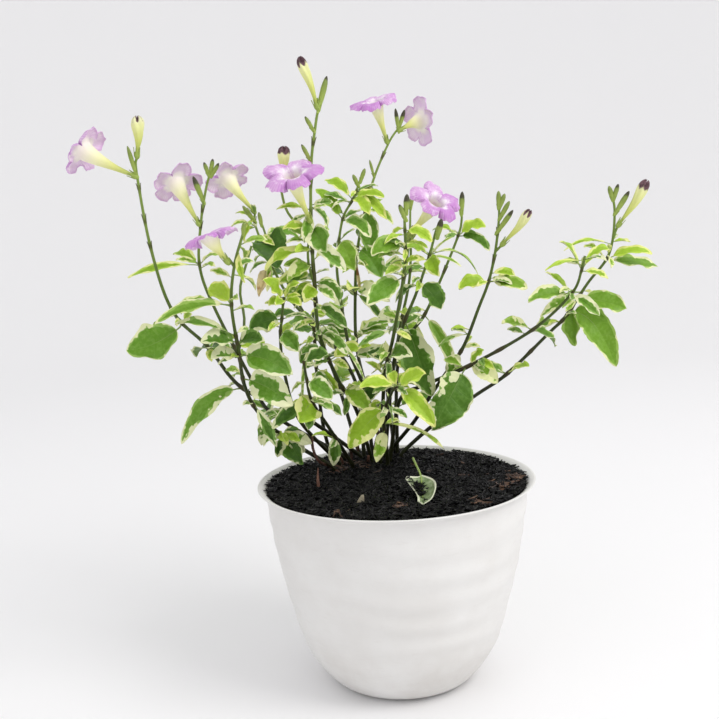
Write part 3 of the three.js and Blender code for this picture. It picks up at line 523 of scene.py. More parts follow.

# Twenty stems rise from the soil, dark green and woody below, where painted shade darkens them too,
# and fresher above, a little swollen at each pair of leaves. The points are in mm: where the stem
# leaves the soil, then its route.
stem_foot = 104
stem_exit = 124
stems = {
    "stem_01": [(-22, 54), (-62, 30, 161), (-98, 16, 183), (-118, 8, 213), (-138, 4, 237),
                (-148, 0, 277), (-153, -2, 325), (-152, -2, 334)],
    "stem_02": [(-34, 56), (-82, 52, 157), (-95, 54, 180), (-119, 56, 234), (-127, 56, 263),
                (-124, 56, 292), (-119, 55, 314), (-115, 55, 326)],
    "stem_03": [(-40, 25), (-72, 14, 149), (-86, -8, 171), (-92, -22, 191), (-93, -34, 215),
                (-94, -46, 244), (-90, -54, 267), (-83, -60, 286)],
    "stem_04": [(-20, 62), (-22, 64, 165), (-28, 70, 185), (-43, 76, 207), (-66, 82, 232),
                (-80, 86, 259), (-90, 88, 287), (-90, 88, 297)],
    "stem_05": [(-15, 46), (-24, 32, 162), (-35, 16, 186), (-45, 0, 219), (-46, -10, 250),
                (-46, -18, 286), (-44, -22, 323), (-40, -24, 347), (-38, -25, 356)],
    "stem_06": [(-14, 70), (-18, 76, 167), (-27, 86, 195), (-33, 96, 242), (-33, 100, 262),
                (-28, 104, 289), (-20, 106, 303), (-14, 107, 316)],
    "stem_07": [(-7, 76), (-16, 94, 164), (-22, 108, 196), (-21, 118, 236), (-18, 124, 266),
                (-11, 128, 294), (-3, 131, 319), (9, 134, 344), (17, 136, 355)],
    "stem_08": [(-9, 38), (-4, 20, 186), (2, 6, 213), (9, -10, 251), (11, -16, 271),
                (11, -20, 290), (12, -20, 297)],
    "stem_09": [(-5, 57), (1, 46, 175), (8, 42, 214), (15, 38, 244), (17, 35, 264), (17, 33, 276)],
    "stem_10": [(-8, 50), (1, 32, 185), (9, 20, 218), (18, 12, 240), (27, 4, 265), (31, 1, 279),
                (33, 0, 284)],
    "stem_11": [(4, 68), (6, 66, 181), (15, 68, 205), (27, 70, 220), (39, 73, 243), (53, 76, 274),
                (56, 77, 285), (56, 77, 291)],
    "stem_12": [(-2, 64), (15, 46, 148), (25, 42, 164), (39, 40, 184), (51, 40, 201), (62, 40, 227),
                (69, 40, 244), (74, 40, 264), (77, 40, 286), (77, 40, 296)],
    "stem_13": [(-2, 44), (6, 34, 167), (23, 26, 178), (52, 18, 191), (92, 8, 214), (116, 0, 237),
                (122, -3, 252), (124, -4, 261)],
    "stem_14": [(6, 56), (29, 56, 143), (61, 60, 163), (83, 60, 177), (112, 56, 205), (124, 54, 217),
                (138, 50, 239), (150, 46, 255), (154, 44, 269), (155, 43, 287), (154, 43, 296)],
    "stem_15": [(-37, 36), (-61, 6, 162), (-68, -6, 194), (-69, -14, 218), (-67, -17, 232),
                (-65, -20, 245)],
    "stem_16": [(-44, 63), (-48, 58, 147), (-50, 48, 180), (-50, 40, 209), (-50, 36, 229)],
    "stem_17": [(-28, 30), (-41, -4, 157), (-51, -22, 180), (-53, -30, 195), (-54, -36, 207)],
    "stem_18": [(-4, 30), (-6, 10, 160), (-1, -10, 180), (3, -22, 187)],
    "stem_19": [(2, 76), (0, 98, 175), (14, 122, 230), (22, 136, 272), (24, 142, 296)],
    "stem_20": [(-24, 70), (-42, 96, 185), (-68, 122, 235), (-84, 134, 270), (-90, 138, 288)],
}
shoots = [
    ("stem_03", [(-93, -34, 215), (-89, -28, 232), (-91, -24, 251), (-86, -20, 268), (-83, -18, 277)]),
    ("stem_03", [(-90, -54, 267), (-93, -55, 272)]),
    ("stem_05", [(-46, -10, 250), (-49, -16, 268), (-46, -22, 290)]),
    ("stem_05", [(-46, -17, 280), (-60, -12, 296), (-64, -14, 314)]),
    ("stem_09", [(17, 34, 270), (14, 30, 276)]),
    ("stem_12", [(74, 40, 264), (78, 38, 268)]),
    ("stem_14", [(154, 44, 270), (157, 43, 277)]),
]


def stem_path(name, steps):
    (x, y), *route = stems[name]
    line = smooth_path([(x, y, stem_exit), *route], steps)
    return np.vstack([[(x, y, stem_foot)], line])


def at_height(path, height):
    """The point where a rising path reaches a height, or its end."""
    for low, high in zip(path, path[1:]):
        if high[2] >= height:
            return low + (high - low) * (height - low[2]) / (high[2] - low[2])
    return path[-1].copy()


coarse = {name: stem_path(name, 1) for name in stems}
fine = {name: stem_path(name, 8) for name in stems}


def stalk_blank(name, sides, rings):
    """A straight round stalk with so many rings, its two ends included."""
    blank = ringed(sides, rings - 2)
    blank.name = name
    return blank


def copy_of(blank, name):
    piece = blank.copy()
    piece.data = blank.data.copy()
    piece.name = name
    bpy.context.collection.objects.link(piece)
    return piece


def along_path(path, shares):
    """Points, and two directions square to the line, at shares of a path's length."""
    steps = np.linalg.norm(np.diff(path, axis=0), axis=1)
    length = np.concatenate([[0], np.cumsum(steps)])
    wanted = shares * length[-1]
    points = np.column_stack([np.interp(wanted, length, path[:, i]) for i in range(3)])
    ahead = unit(np.gradient(points, axis=0))
    across = np.array([1.0, 0, 0])
    sides = []
    for way in ahead:
        across = unit(across - way * across.dot(way))
        sides.append(across)
    sides = np.array(sides)
    return points, sides, np.cross(ahead, sides), length[-1]


def note_down(piece, values):
    """Keeps four numbers on each point of a piece, for its finish to read."""
    layer = piece.data.attributes.new("growth", "FLOAT_COLOR", "POINT")
    layer.data.foreach_set("color", np.ascontiguousarray(values, dtype=np.float32).ravel())


def four(count, *values):
    """Four numbers for each point, from single numbers or whole rows of them."""
    return np.column_stack([np.broadcast_to(np.asarray(v, float), count) for v in values])


def bend_stalk(blank, name, path, radius_at, mark=None):
    """Copies a straight stalk and lays it along a path; radius_at gives mm from (share, length)."""
    piece = copy_of(blank, name)
    straight = drawn(piece)
    share = straight[:, 2] + 0.5
    levels = np.unique(np.round(share, 5))
    points, side, over, length = along_path(np.asarray(path, float), levels)
    level = np.searchsorted(levels, np.round(share, 5))
    radius = radius_at(levels, length)[level][:, None]
    shape = points[level] + side[level] * straight[:, 0:1] * radius
    set_in_place(piece, shape + over[level] * straight[:, 1:2] * radius)
    if mark is not None:
        note_down(piece, mark(share))
    return piece


# Each leaf is a thin, waved blade with a shallow scalloped edge on a slim stalk. The row gives
# the stem, the height of its node, the tip, the width, the arch and lean, then the cream on the
# upper and the lower edge in mm, and how fresh the green is: 0 old and dark, 1 lime, 2 dried up.
leaf_rows = [
    ("stem_01", 229, (-166, -7, 216), 24, 7, 60, 1.6, 0.6, 0.5),
    ("stem_01", 237, (-114, 10, 243), 8, 6, 30, 0.9, 0.9, 0.6),
    ("stem_01", 183, (-138, 6, 150), 15, 9, 55, 0.7, 2.4, 0.5),
    ("stem_02", 263, (-176, 50, 259), 7, 6, 50, 0.8, 0.8, 0.7),
    ("stem_02", 263, (-147, 68, 272), 9, 5, 30, 0.8, 0.8, 0.7),
    ("stem_02", 263, (-114, 50, 272), 6, 3, 30, 0.8, 0.8, 0.6),
    ("stem_03", 244, (-138, -58, 237), 9, 8, 40, 1.0, 1.0, 0.55),
    ("stem_03", 243, (-127, -42, 243), 7, 6, 40, 1.0, 1.0, 0.5),
    ("stem_03", 224, (-126, -54, 237), 8, 6, 40, 1.5, 1.0, 0.5),
    ("stem_03", 220, (-111, -51, 226), 13, 3, 50, 2.5, 1.0, 0.3),
    ("stem_03", 220, (-77, -52, 224), 12, 3, 50, 1.2, 1.0, 0.15),
    ("stem_03", 210, (-108, -44, 214), 12, 3, 40, 4.5, 2.0, 0.45),
    ("stem_03", 212, (-62, -48, 203), 19, 6, 60, 1.6, 1.0, 0.4),
    ("stem_03", 196, (-63, -42, 182), 20, 6, 60, 2.4, 2.0, 0.4),
    ("stem_03", 244, (-108, -34, 256), 13, 3, 40, 0.9, 0.9, 0.9),
    ("stem_03", 262, (-78, -34, 254), 7, 3, 30, 1.2, 1.2, 0.7),
    ("stem_03", 149, (-62, 0, 134), 16, 5, 60, 0.8, 2.6, 0.12),
    ("stem_03", 149, (-55, 2, 148), 10, 3, 50, 5.0, 5.0, 0.4),
    ("stem_03", 167, (-85, -10, 150), 8, 3, 40, 1.6, 1.6, 0.3),
    ("stem_04", 276, (-78, 66, 257), 25, 9, 20, 0.3, 0.3, 0.08),
    ("stem_04", 276, (-58, 97, 281), 15, 6, 30, 0.8, 0.8, 0.5),
    ("stem_04", 287, (-108, 82, 290), 7, 4, 20, 0.8, 0.8, 0.65),
    ("stem_04", 258, (-88, 76, 242), 10, 3, 40, 3.0, 3.0, 2.0),
    ("stem_05", 253, (-28, -2, 238), 15, 4, 60, 1.2, 4.4, 0.3),
    ("stem_05", 238, (-27, -14, 225), 9, 4, 50, 1.0, 1.0, 0.15),
    ("stem_05", 272, (-77, -21, 265), 10, 6, 35, 2.0, 1.2, 0.8),
    ("stem_05", 240, (-66, -15, 248), 10, 4, 50, 3.2, 2.2, 0.5),
    ("stem_05", 264, (-62, -23, 257), 11, 3, 40, 2.2, 2.4, 0.6),
    ("stem_05", 286, (-38, -29, 272), 16, 4, 50, 1.0, 1.6, 0.4),
    ("stem_05", 276, (-26, -26, 260), 10, 4, 50, 1.5, 1.0, 0.45),
    ("stem_05", 219, (-27, -12, 208), 9, 5, 30, 1.2, 1.8, 0.35),
    ("stem_05", 179, (-15, 5, 167), 13, 4, 50, 1.2, 1.0, 0.65),
    ("stem_15", 231, (-86, -27, 228), 16, 3, 55, 0.8, 2.4, 0.15),
    ("stem_15", 223, (-58, -25, 212), 12, 3, 50, 0.8, 1.0, 0.4),
    ("stem_15", 243, (-76, -25, 257), 14, 2, 45, 0.8, 0.8, 0.85),
    ("stem_16", 180, (-41, 34, 172), 11, 4, 40, 1.0, 1.2, 0.55),
    ("stem_16", 217, (-63, 28, 219), 11, 2, 40, 0.8, 0.8, 0.25),
    ("stem_16", 209, (-34, 30, 215), 12, 4, 40, 1.2, 1.2, 0.35),
    ("stem_17", 206, (-39, -43, 212), 12, 2, 45, 0.8, 0.8, 0.15),
    ("stem_17", 194, (-38, -39, 184), 13, 3, 50, 0.9, 0.9, 0.45),
    ("stem_17", 178, (-60, -34, 167), 18, 3, 60, 2.6, 1.6, 0.75),
    ("stem_06", 289, (-45, 108, 314), 13, 2, 40, 0.4, 0.4, 0.65),
    ("stem_06", 303, (3, 98, 304), 9, 7, 40, 0.9, 0.9, 0.8),
    ("stem_06", 303, (-40, 117, 320), 11, 5, 30, 1.0, 1.0, 0.75),
    ("stem_06", 303, (-8, 90, 294), 11, 6, 20, 1.2, 1.0, 0.85),
    ("stem_06", 274, (-22, 88, 254), 15, 5, 40, 0.6, 0.8, 0.6),
    ("stem_06", 289, (-8, 90, 276), 13, 6, 30, 1.2, 1.6, 0.5),
    ("stem_07", 266, (-1, 110, 245), 19, 8, 40, 1.0, 0.8, 0.45),
    ("stem_07", 266, (-40, 116, 256), 11, 6, 40, 1.4, 1.4, 0.35),
    ("stem_07", 294, (10, 114, 286), 8, 7, 30, 1.0, 1.0, 0.6),
    ("stem_08", 271, (-10, -27, 270), 14, 4, 50, 0.8, 0.8, 0.55),
    ("stem_08", 282, (27, -24, 275), 9, 5, 40, 0.9, 0.9, 0.85),
    ("stem_08", 253, (-17, -28, 237), 17, 5, 60, 1.2, 0.8, 0.5),
    ("stem_09", 254, (0, 31, 260), 10, 5, 40, 1.0, 1.0, 0.5),
    ("stem_10", 265, (12, -4, 272), 10, 4, 40, 1.0, 1.0, 0.7),
    ("stem_10", 265, (30, -9, 254), 11, 2, 40, 0.8, 0.6, 0.75),
    ("stem_10", 247, (35, 6, 231), 16, 4, 50, 0.6, 0.6, 0.15),
    ("stem_10", 265, (62, 12, 254), 4, 15, 20, 0.4, 0.4, 0.6),
    ("stem_10", 222, (23, 4, 175), 24, 5, 65, 4.6, 1.0, 0.25),
    ("stem_11", 220, (48, 60, 179), 10, 9, 50, 1.2, 1.0, 0.55),
    ("stem_11", 220, (8, 60, 212), 11, 5, 30, 1.6, 1.2, 0.35),
    ("stem_11", 274, (72, 70, 281), 12, 6, 40, 0.8, 0.8, 0.9),
    ("stem_11", 274, (75, 70, 264), 10, 7, 40, 0.6, 0.6, 0.3),
    ("stem_11", 274, (35, 82, 281), 8, 6, 20, 1.0, 1.0, 0.7),
    ("stem_12", 244, (94, 32, 240), 12, 3, 45, 1.2, 1.2, 0.6),
    ("stem_12", 244, (48, 34, 241), 12, 4, 40, 1.0, 1.0, 0.8),
    ("stem_12", 197, (39, 34, 181), 10, 3, 40, 1.4, 2.0, 0.5),
    ("stem_13", 190, (25, -6, 158), 27, 2, 60, 4.2, 0.5, 0.25),
    ("stem_13", 191, (69, 7, 182), 13, 3, 50, 2.4, 2.4, 0.6),
    ("stem_13", 191, (61, 14, 202), 9, 2, 40, 0.8, 0.8, 0.7),
    ("stem_13", 214, (72, 3, 221), 9, 4, 40, 2.2, 2.0, 0.6),
    ("stem_13", 237, (102, 7, 255), 6, 4, 20, 0.8, 0.8, 0.7),
    ("stem_13", 237, (87, -10, 240), 13, 7, 40, 1.2, 1.2, 0.55),
    ("stem_13", 237, (134, -12, 227), 12, 5, 40, 1.2, 1.2, 0.45),
    ("stem_13", 252, (110, 0, 272), 6, 6, 20, 0.8, 0.8, 0.7),
    ("stem_13", 252, (142, 2, 266), 8, 8, 30, 0.7, 0.7, 0.8),
    ("stem_14", 218, (153, 40, 184), 25, 8, 60, 0.5, 0.8, 0.55),
    ("stem_14", 230, (163, 42, 226), 13, 5, 50, 0.6, 0.8, 0.55),
    ("stem_14", 255, (188, 50, 246), 11, 7, 40, 0.9, 0.9, 0.55),
    ("stem_14", 255, (179, 38, 264), 9, 5, 40, 0.8, 0.8, 0.9),
    ("stem_14", 255, (134, 42, 265), 7, 5, 30, 0.8, 0.8, 0.7),
    ("stem_18", 186, (24, -37, 164), 12, 5, 50, 0.9, 1.8, 0.85),
    ("stem_18", 186, (-20, -34, 191), 10, 4, 45, 0.9, 0.9, 0.9),
    ("stem_18", 186, (19, -33, 196), 13, 3, 50, 0.9, 0.9, 0.95),
    ("stem_18", 169, (-29, -14, 147), 18, 6, 60, 0.9, 2.8, 0.75),
    ("stem_18", 151, (-12, 4, 132), 9, 4, 40, 1.4, 2.0, 0.6),
    ("stem_18", 156, (34, 4, 141), 5, 7, 20, 1.2, 1.0, 0.7),
]

# Nodes without a leaf of their own above carry an opposite pair, turned from the pair below, and
# bent clear of what stands there already. The row gives stem, height, heading and length.
pair_rows = [
    ("stem_01", 161, 40, 26), ("stem_01", 211, 130, 22), ("stem_02", 157, 100, 26),
    ("stem_02", 205, 20, 24), ("stem_04", 222, 20, 26), ("stem_05", 200, 30, 24),
    ("stem_06", 190, 160, 26), ("stem_06", 225, 80, 26), ("stem_07", 200, 10, 28),
    ("stem_07", 234, 100, 26), ("stem_08", 200, 100, 26), ("stem_09", 190, 150, 24),
    ("stem_09", 222, 60, 24), ("stem_11", 155, 15, 26), ("stem_11", 190, 120, 26),
    ("stem_14", 177, 130, 24), ("stem_19", 165, 20, 28), ("stem_19", 205, 110, 28),
    ("stem_19", 244, 20, 26), ("stem_20", 170, 60, 28), ("stem_20", 210, 150, 28),
    ("stem_20", 248, 60, 26),
]

# Small and narrow leaves fill the bush between the large ones. They are made in the same way, and
# their rows say the same things.
small_leaf_rows = [
    ("stem_05", 297, (-66, -25, 300), 5, 3, 40, 0.9, 0.6, 0.7),
    ("stem_05", 295, (-50, -25, 278), 8, 4, 50, 1.0, 1.0, 0.5),
    ("stem_05", 277, (-62, -22, 279), 5, 3, 30, 0.8, 0.8, 0.55),
    ("stem_05", 250, (-33, -18, 242), 7, 3, 45, 2.2, 1.6, 0.5),
    ("stem_05", 254, (-62, -17, 255), 8, 3, 45, 0.8, 0.8, 0.4),
    ("stem_05", 299, (-34, -15, 287), 7, 3, 50, 0.8, 0.8, 0.3),
    ("stem_05", 174, (-31, 19, 161), 6, 3, 50, 0.8, 0.8, 0.3),
    ("stem_05", 227, (-13, -8, 190), 3, 5, 40, 1.2, 0.6, 0.5),
    ("stem_15", 242, (-56, -24, 255), 8, 3, 40, 0.8, 0.8, 0.85),
    ("stem_15", 244, (-74, -26, 241), 7, 2, 40, 0.8, 0.8, 0.85),
    ("stem_15", 244, (-54, -24, 240), 7, 2, 40, 0.8, 0.8, 0.8),
    ("stem_15", 210, (-64, -11, 194), 5, 2, 60, 0.8, 0.8, 0.35),
    ("stem_07", 296, (-8, 120, 262), 16, 6, 12, 0.7, 0.7, 0.45),
    ("stem_07", 294, (-18, 130, 276), 10, 4, 12, 0.5, 0.5, 0.2),
    ("stem_07", 264, (-2, 116, 252), 6, 3, 40, 2.0, 1.6, 0.5),
    ("stem_07", 257, (-17, 114, 232), 4, 2, 30, 0.8, 0.8, 2.0),
    ("stem_07", 234, (-1, 112, 213), 7, 4, 50, 0.8, 0.8, 0.1),
    ("stem_07", 202, (0, 104, 210), 7, 3, 40, 1.4, 1.0, 0.5),
    ("stem_07", 204, (6, 98, 216), 7, 3, 40, 1.0, 1.0, 0.45),
    ("stem_06", 308, (5, 98, 290), 9, 4, 50, 0.9, 0.9, 0.9),
    ("stem_06", 304, (-4, 112, 312), 7, 3, 30, 1.0, 1.0, 0.8),
    ("stem_06", 270, (-17, 95, 265), 5, 2, 40, 1.2, 1.2, 0.5),
    ("stem_16", 206, (-60, 33, 196), 10, 3, 50, 0.8, 1.6, 0.2),
    ("stem_16", 190, (-35, 37, 173), 7, 3, 50, 1.0, 0.6, 0.75),
    ("stem_16", 218, (-64, 30, 168), 3, 4, 30, 1.0, 0.6, 0.6),
    ("stem_17", 180, (-77, -24, 164), 10, 4, 60, 1.0, 1.0, 0.1),
    ("stem_17", 179, (-54, -25, 162), 8, 3, 60, 1.2, 1.0, 0.2),
    ("stem_17", 150, (-40, 2, 131), 9, 3, 60, 0.9, 0.9, 0.25),
    ("stem_08", 219, (-21, -2, 210), 6, 3, 50, 0.8, 0.8, 0.35),
    ("stem_08", 183, (-20, 19, 168), 10, 3, 60, 0.6, 0.6, 0.0),
    ("stem_08", 274, (-6, -21, 277), 7, 3, 40, 0.8, 0.8, 0.3),
    ("stem_08", 267, (-6, -21, 268), 6, 3, 40, 1.0, 1.0, 0.6),
    ("stem_08", 262, (20, -17, 265), 6, 2, 40, 0.9, 0.9, 0.8),
    ("stem_08", 260, (-2, -24, 257), 6, 2, 40, 0.9, 0.9, 0.7),
    ("stem_08", 194, (-6, 22, 185), 7, 2, 50, 0.8, 0.8, 0.2),
    ("stem_03", 152, (-80, 5, 150), 8, 3, 50, 4.0, 4.0, 0.4),
    ("stem_03", 152, (-61, 15, 152), 7, 3, 45, 0.8, 0.8, 0.05),
    ("stem_03", 150, (-59, 7, 140), 9, 3, 55, 3.5, 2.5, 0.35),
    ("stem_03", 150, (-77, 9, 137), 8, 3, 60, 0.8, 1.0, 0.05),
    ("stem_03", 177, (-75, -20, 151), 8, 4, 55, 1.2, 0.8, 0.25),
    ("stem_03", 276, (-86, -61, 258), 5, 3, 40, 1.2, 0.8, 0.8),
    ("stem_18", 172, (0, 0, 158), 5, 2, 50, 0.8, 0.8, 0.3),
    ("stem_18", 185, (-1, -12, 195), 8, 3, 45, 0.9, 0.9, 0.95),
    ("stem_13", 192, (61, 12, 188), 6, 2, 50, 1.0, 0.9, 0.5),
    ("stem_13", 258, (98, -8, 254), 4, 4, 30, 0.7, 0.7, 0.85),
    ("stem_10", 265, (47, -2, 259), 3, 3, 30, 0.4, 0.4, 0.6),
    ("stem_10", 264, (42, 2, 277), 2.6, 3, 30, 0.4, 0.4, 0.6),
    ("stem_10", 247, (3, 20, 236), 8, 3, 50, 1.0, 0.8, 0.15),
    ("stem_12", 246, (87, 46, 243), 3, 3, 30, 0.5, 0.5, 0.7),
    ("stem_12", 209, (33, 36, 204), 4, 3, 40, 0.8, 0.8, 0.5),
    ("stem_04", 294, (-100, 84, 278), 5, 3, 40, 1.0, 0.8, 0.85),
    ("stem_04", 277, (-94, 89, 270), 4, 2, 30, 0.5, 0.5, 0.05),
    ("stem_04", 263, (-83, 78, 241), 6, 3, 50, 1.4, 1.0, 0.6),
    ("stem_14", 265, (120, 41, 263), 4, 9, 30, 0.6, 0.6, 0.75),
    ("stem_14", 231, (106, 57, 217), 9, 4, 50, 2.2, 1.8, 0.55),
    ("stem_14", 213, (101, 59, 207), 8, 3, 50, 1.4, 1.4, 0.5),
    ("stem_14", 222, (128, 50, 196), 14, 5, 60, 0.9, 0.9, 0.55),
    ("stem_07", 236, (2, 90, 231), 13, 5, 50, 5.0, 5.0, 0.5),
    ("stem_05", 250, (-52, -20, 242), 10, 3, 50, 1.2, 1.2, 0.75),
    ("stem_05", 258, (-70, -12, 253), 9, 3, 60, 0.9, 0.9, 0.7),
    ("stem_13", 214, (113, 22, 203), 12, 3, 40, 0.8, 0.8, 0.45),
    ("stem_16", 190, (-44, 34, 169), 11, 2, 20, 0.6, 0.6, 0.35),
    ("stem_17", 179, (-31, -14, 169), 8, 2, 50, 0.8, 0.8, 0.2),
    ("stem_05", 172, (-14, 22, 158), 7, 2, 40, 0.8, 0.8, 0.1),
]

# Each open flower stands in its cup on a stem. The row gives stem, foot of the cup, middle of the
# throat, way the flower faces, turn about it, and how far the lobes reach.
bloom_rows = {
    "bloom_1": ("stem_01", (-153, -2, 322), (-186, 4, 340), (-0.76, 0.24, 0.58), 10, 17.5),
    "bloom_2": ("stem_02", (-125, 56, 290), (-141, 68, 319), (-0.4, 0.62, 0.68), 40, 17.5),
    "bloom_3": ("stem_04", (-90, 88, 297), (-109, 99, 322), (-0.42, 0.55, 0.7), 0, 17.5),
    "bloom_4": ("stem_03", (-93, -55, 269), (-102, -60, 285), (-0.3, -0.06, 0.95), 20, 16.0),
    "bloom_5": ("stem_05", (-46, -22, 290), (-55, -34, 318.5), (-0.12, -0.52, 0.85), 30, 18.8),
    "bloom_6": ("stem_07", (8, 134, 344), (0, 128, 374), (-0.22, -0.28, 0.93), 0, 18.5),
    "bloom_7": ("stem_07", (17, 136, 353), (34, 149, 360), (0.82, 0.54, 0.1), 50, 18.5),
    "bloom_8": ("stem_09", (14, 30, 276), (34, 18, 299), (0.4, -0.58, 0.71), 15, 17.6),
}

# Each closed flower, cream with a dark tip, stands in a cup too. The row gives stem, foot of the
# cup, tip, thickness and how dark the tip is.
bud_rows = {
    "bud_1": ("stem_01", (-152, -2, 334), (-150, -2, 358), 4.1, 0.16),
    "bud_2": ("stem_05", (-38, -25, 356), (-47, -28, 385), 3.2, 0.75),
    "bud_3": ("stem_05", (-64, -14, 314), (-60, -15, 335), 3.9, 1.0),
    "bud_4": ("stem_12", (78, 38, 268), (96, 32, 290), 3.3, 0.4),
    "bud_5": ("stem_14", (157, 43, 277), (175, 38, 306), 3.8, 0.85),
}
petiole_share = 0.28
blade_start = 0.14
limb_radius = 19


def leaf_frame(leaf, share):
    """Points on a leaf's arched midrib, the way across the blade and the way out of its face."""
    base, tip, share = leaf["base"], leaf["tip"], np.asarray(share, float)[:, None]
    knee = (base + tip) / 2 + (0, 0, leaf["arch"] * 2)
    low = base + (knee - base) * share
    high = knee + (tip - knee) * share
    ahead = unit(high - low)
    level = np.array([tip[1] - base[1], base[0] - tip[0], 0])
    if np.linalg.norm(level) < 1:
        level = np.array([1.0, 0, 0])
    level = np.tile(unit(level), (len(share), 1))
    level = unit(level - ahead * (level * ahead).sum(1, keepdims=True))
    out = np.cross(level, ahead)
    turn = math.radians(leaf["roll"] if tip[0] < base[0] else -leaf["roll"])
    side = level * math.cos(turn) + out * math.sin(turn)
    return low + (high - low) * share, side, np.cross(side, ahead)


def leaf_spots(leaf):
    """Points spread over a leaf, to keep others clear of it."""
    spots = []
    for i in range(1, 9):
        share = i / 8
        point, side, _ = (row[0] for row in leaf_frame(leaf, [share]))
        spots.append(point)
        blade = (share - petiole_share) / (1 - petiole_share)
        if 0.05 < blade < 0.95:
            half = leaf["width"] / 2 * math.sin(math.pi * blade ** 0.8)
            spots += [point + side * half, point - side * half]
    return np.array(spots)


def flower_spots(throat, face):
    """Points spread over a flower's lobes, to keep leaves clear of them."""
    out = unit(np.array(face))
    across = unit(np.array([out[1], -out[0], 0.01]))
    over = np.cross(out, across)
    turns = np.arange(12) / 12 * math.tau
    rings = [np.array(throat) + limb_radius * ring * (np.outer(np.cos(turns), across)
             + np.outer(np.sin(turns), over)) for ring in (0.35, 0.7, 1)]
    return np.vstack(rings)


taken = [(name, fine[name]) for name in stems]
taken += [(stem, smooth_path(route, 6)) for stem, route in shoots]
for name, (_, foot, throat, face, _, _) in bloom_rows.items():
    foot, middle = np.array(foot, float), np.array(throat, float)
    line = [foot + (middle - foot) * t for t in (0.2, 0.4, 0.6, 0.8, 1)]
    taken.append((name, np.vstack([line, flower_spots(throat, face)])))
for name, (_, foot, tip, _, _) in bud_rows.items():
    foot, tip = np.array(foot, float), np.array(tip, float)
    taken.append((name, np.array([foot + (tip - foot) * t for t in (0.1, 0.3, 0.5, 0.7, 0.9, 1)])))
leaves = []


def grow_rows(rows):
    for stem, height, tip, width, arch, roll, upper, lower, fresh in rows:
        leaf = {"stem": stem, "base": at_height(coarse[stem], height), "tip": np.array(tip, float),
                "width": width, "arch": arch, "roll": roll, "upper": upper, "lower": lower, "fresh": fresh}
        leaves.append(leaf)
        taken.append((stem, leaf_spots(leaf)))


grow_rows(leaf_rows)
seed = 20731
seed_range = 2147483647
lowest_over_pot = 126
room_on_own_stem = 1.6
room_to_others = 3.4


def draw(low, high):
    """The next number of a fixed random row, between low and high."""
    global seed
    seed = seed * 16807 % seed_range
    return low + (high - low) * seed / seed_range


def clear_of_all(leaf, tight=1.0):
    """Says whether a leaf would stay off the soil, the pot and all that has grown so far."""
    spots = leaf_spots(leaf)
    over_pot = np.hypot(spots[:, 0], spots[:, 1]) < rim_radius + 4
    if (over_pot & (spots[:, 2] < lowest_over_pot)).any():
        return False
    for owner, others in taken:
        mine, room = (spots[4:], room_on_own_stem) if owner == leaf["stem"] else (spots, room_to_others)
        gaps = np.linalg.norm(mine[:, None, :] - others[None, :, :], axis=2)
        if gaps.min() < room * tight:
            return False
    return True


tint = random.Random(4)
for stem, height, azimuth, length in pair_rows:
    for half in (0, 180):
        base = at_height(coarse[stem], height)
        jitter = draw(-18, 18)
        rise = draw(-4, 10)
        size = length * draw(0.85, 1.12)
        width = size * draw(0.46, 0.6)
        roll = draw(0, 50)
        placed = None
        for shrink in (1, 0.8, 0.62):
            for swing in (0, 25, -25, 50, -50, 75, -75):
                heading = math.radians(azimuth + half + jitter + swing)
                way = np.array([math.cos(heading) * size, math.sin(heading) * size, rise])
                leaf = {"stem": stem, "base": base, "tip": base + way * shrink, "width": width * shrink,
                        "arch": size * shrink * 0.16, "roll": roll}
                if placed is None and clear_of_all(leaf):
                    placed = leaf
        cream = tint.choice([0.7, 0.9, 1.2, 1.6, 2.4])
        fresh = tint.choice([0.1, 0.3, 0.4, 0.5, 0.65, 0.8])
        if placed:
            placed.update(upper=cream, lower=cream * tint.uniform(0.5, 1.5), fresh=fresh)
            leaves.append(placed)
            taken.append((stem, leaf_spots(placed)))
grow_rows(small_leaf_rows)

# Short side sprigs sit in the axils of the leaves, each a single little leaf on a slim stalk. Up
# to two grow at a node, where there is room.
sprig = random.Random(77)
lowest_sprig = 140
sprig_nodes = sorted({(leaf["stem"], round(leaf["base"][2])) for leaf in leaves})
for stem, height in sprig_nodes:
    for _ in range(2):
        base = at_height(coarse[stem], height + sprig.uniform(-3, 4))
        heading = sprig.uniform(0, math.tau)
        size = sprig.uniform(11, 19)
        way = np.array([math.cos(heading) * size, math.sin(heading) * size, sprig.uniform(-7, 9)])
        leaf = {"stem": stem, "base": base, "tip": base + way, "width": size * sprig.uniform(0.26, 0.4),
                "arch": size * 0.14, "roll": sprig.uniform(10, 60), "upper": sprig.choice([0.6, 0.8, 1.2]),
                "lower": sprig.choice([0.6, 0.8, 1.4]), "fresh": sprig.choice([0.3, 0.5, 0.6, 0.75, 0.85])}
        if height > lowest_sprig and clear_of_all(leaf, 0.6):
            leaves.append(leaf)
            taken.append((stem, leaf_spots(leaf)))


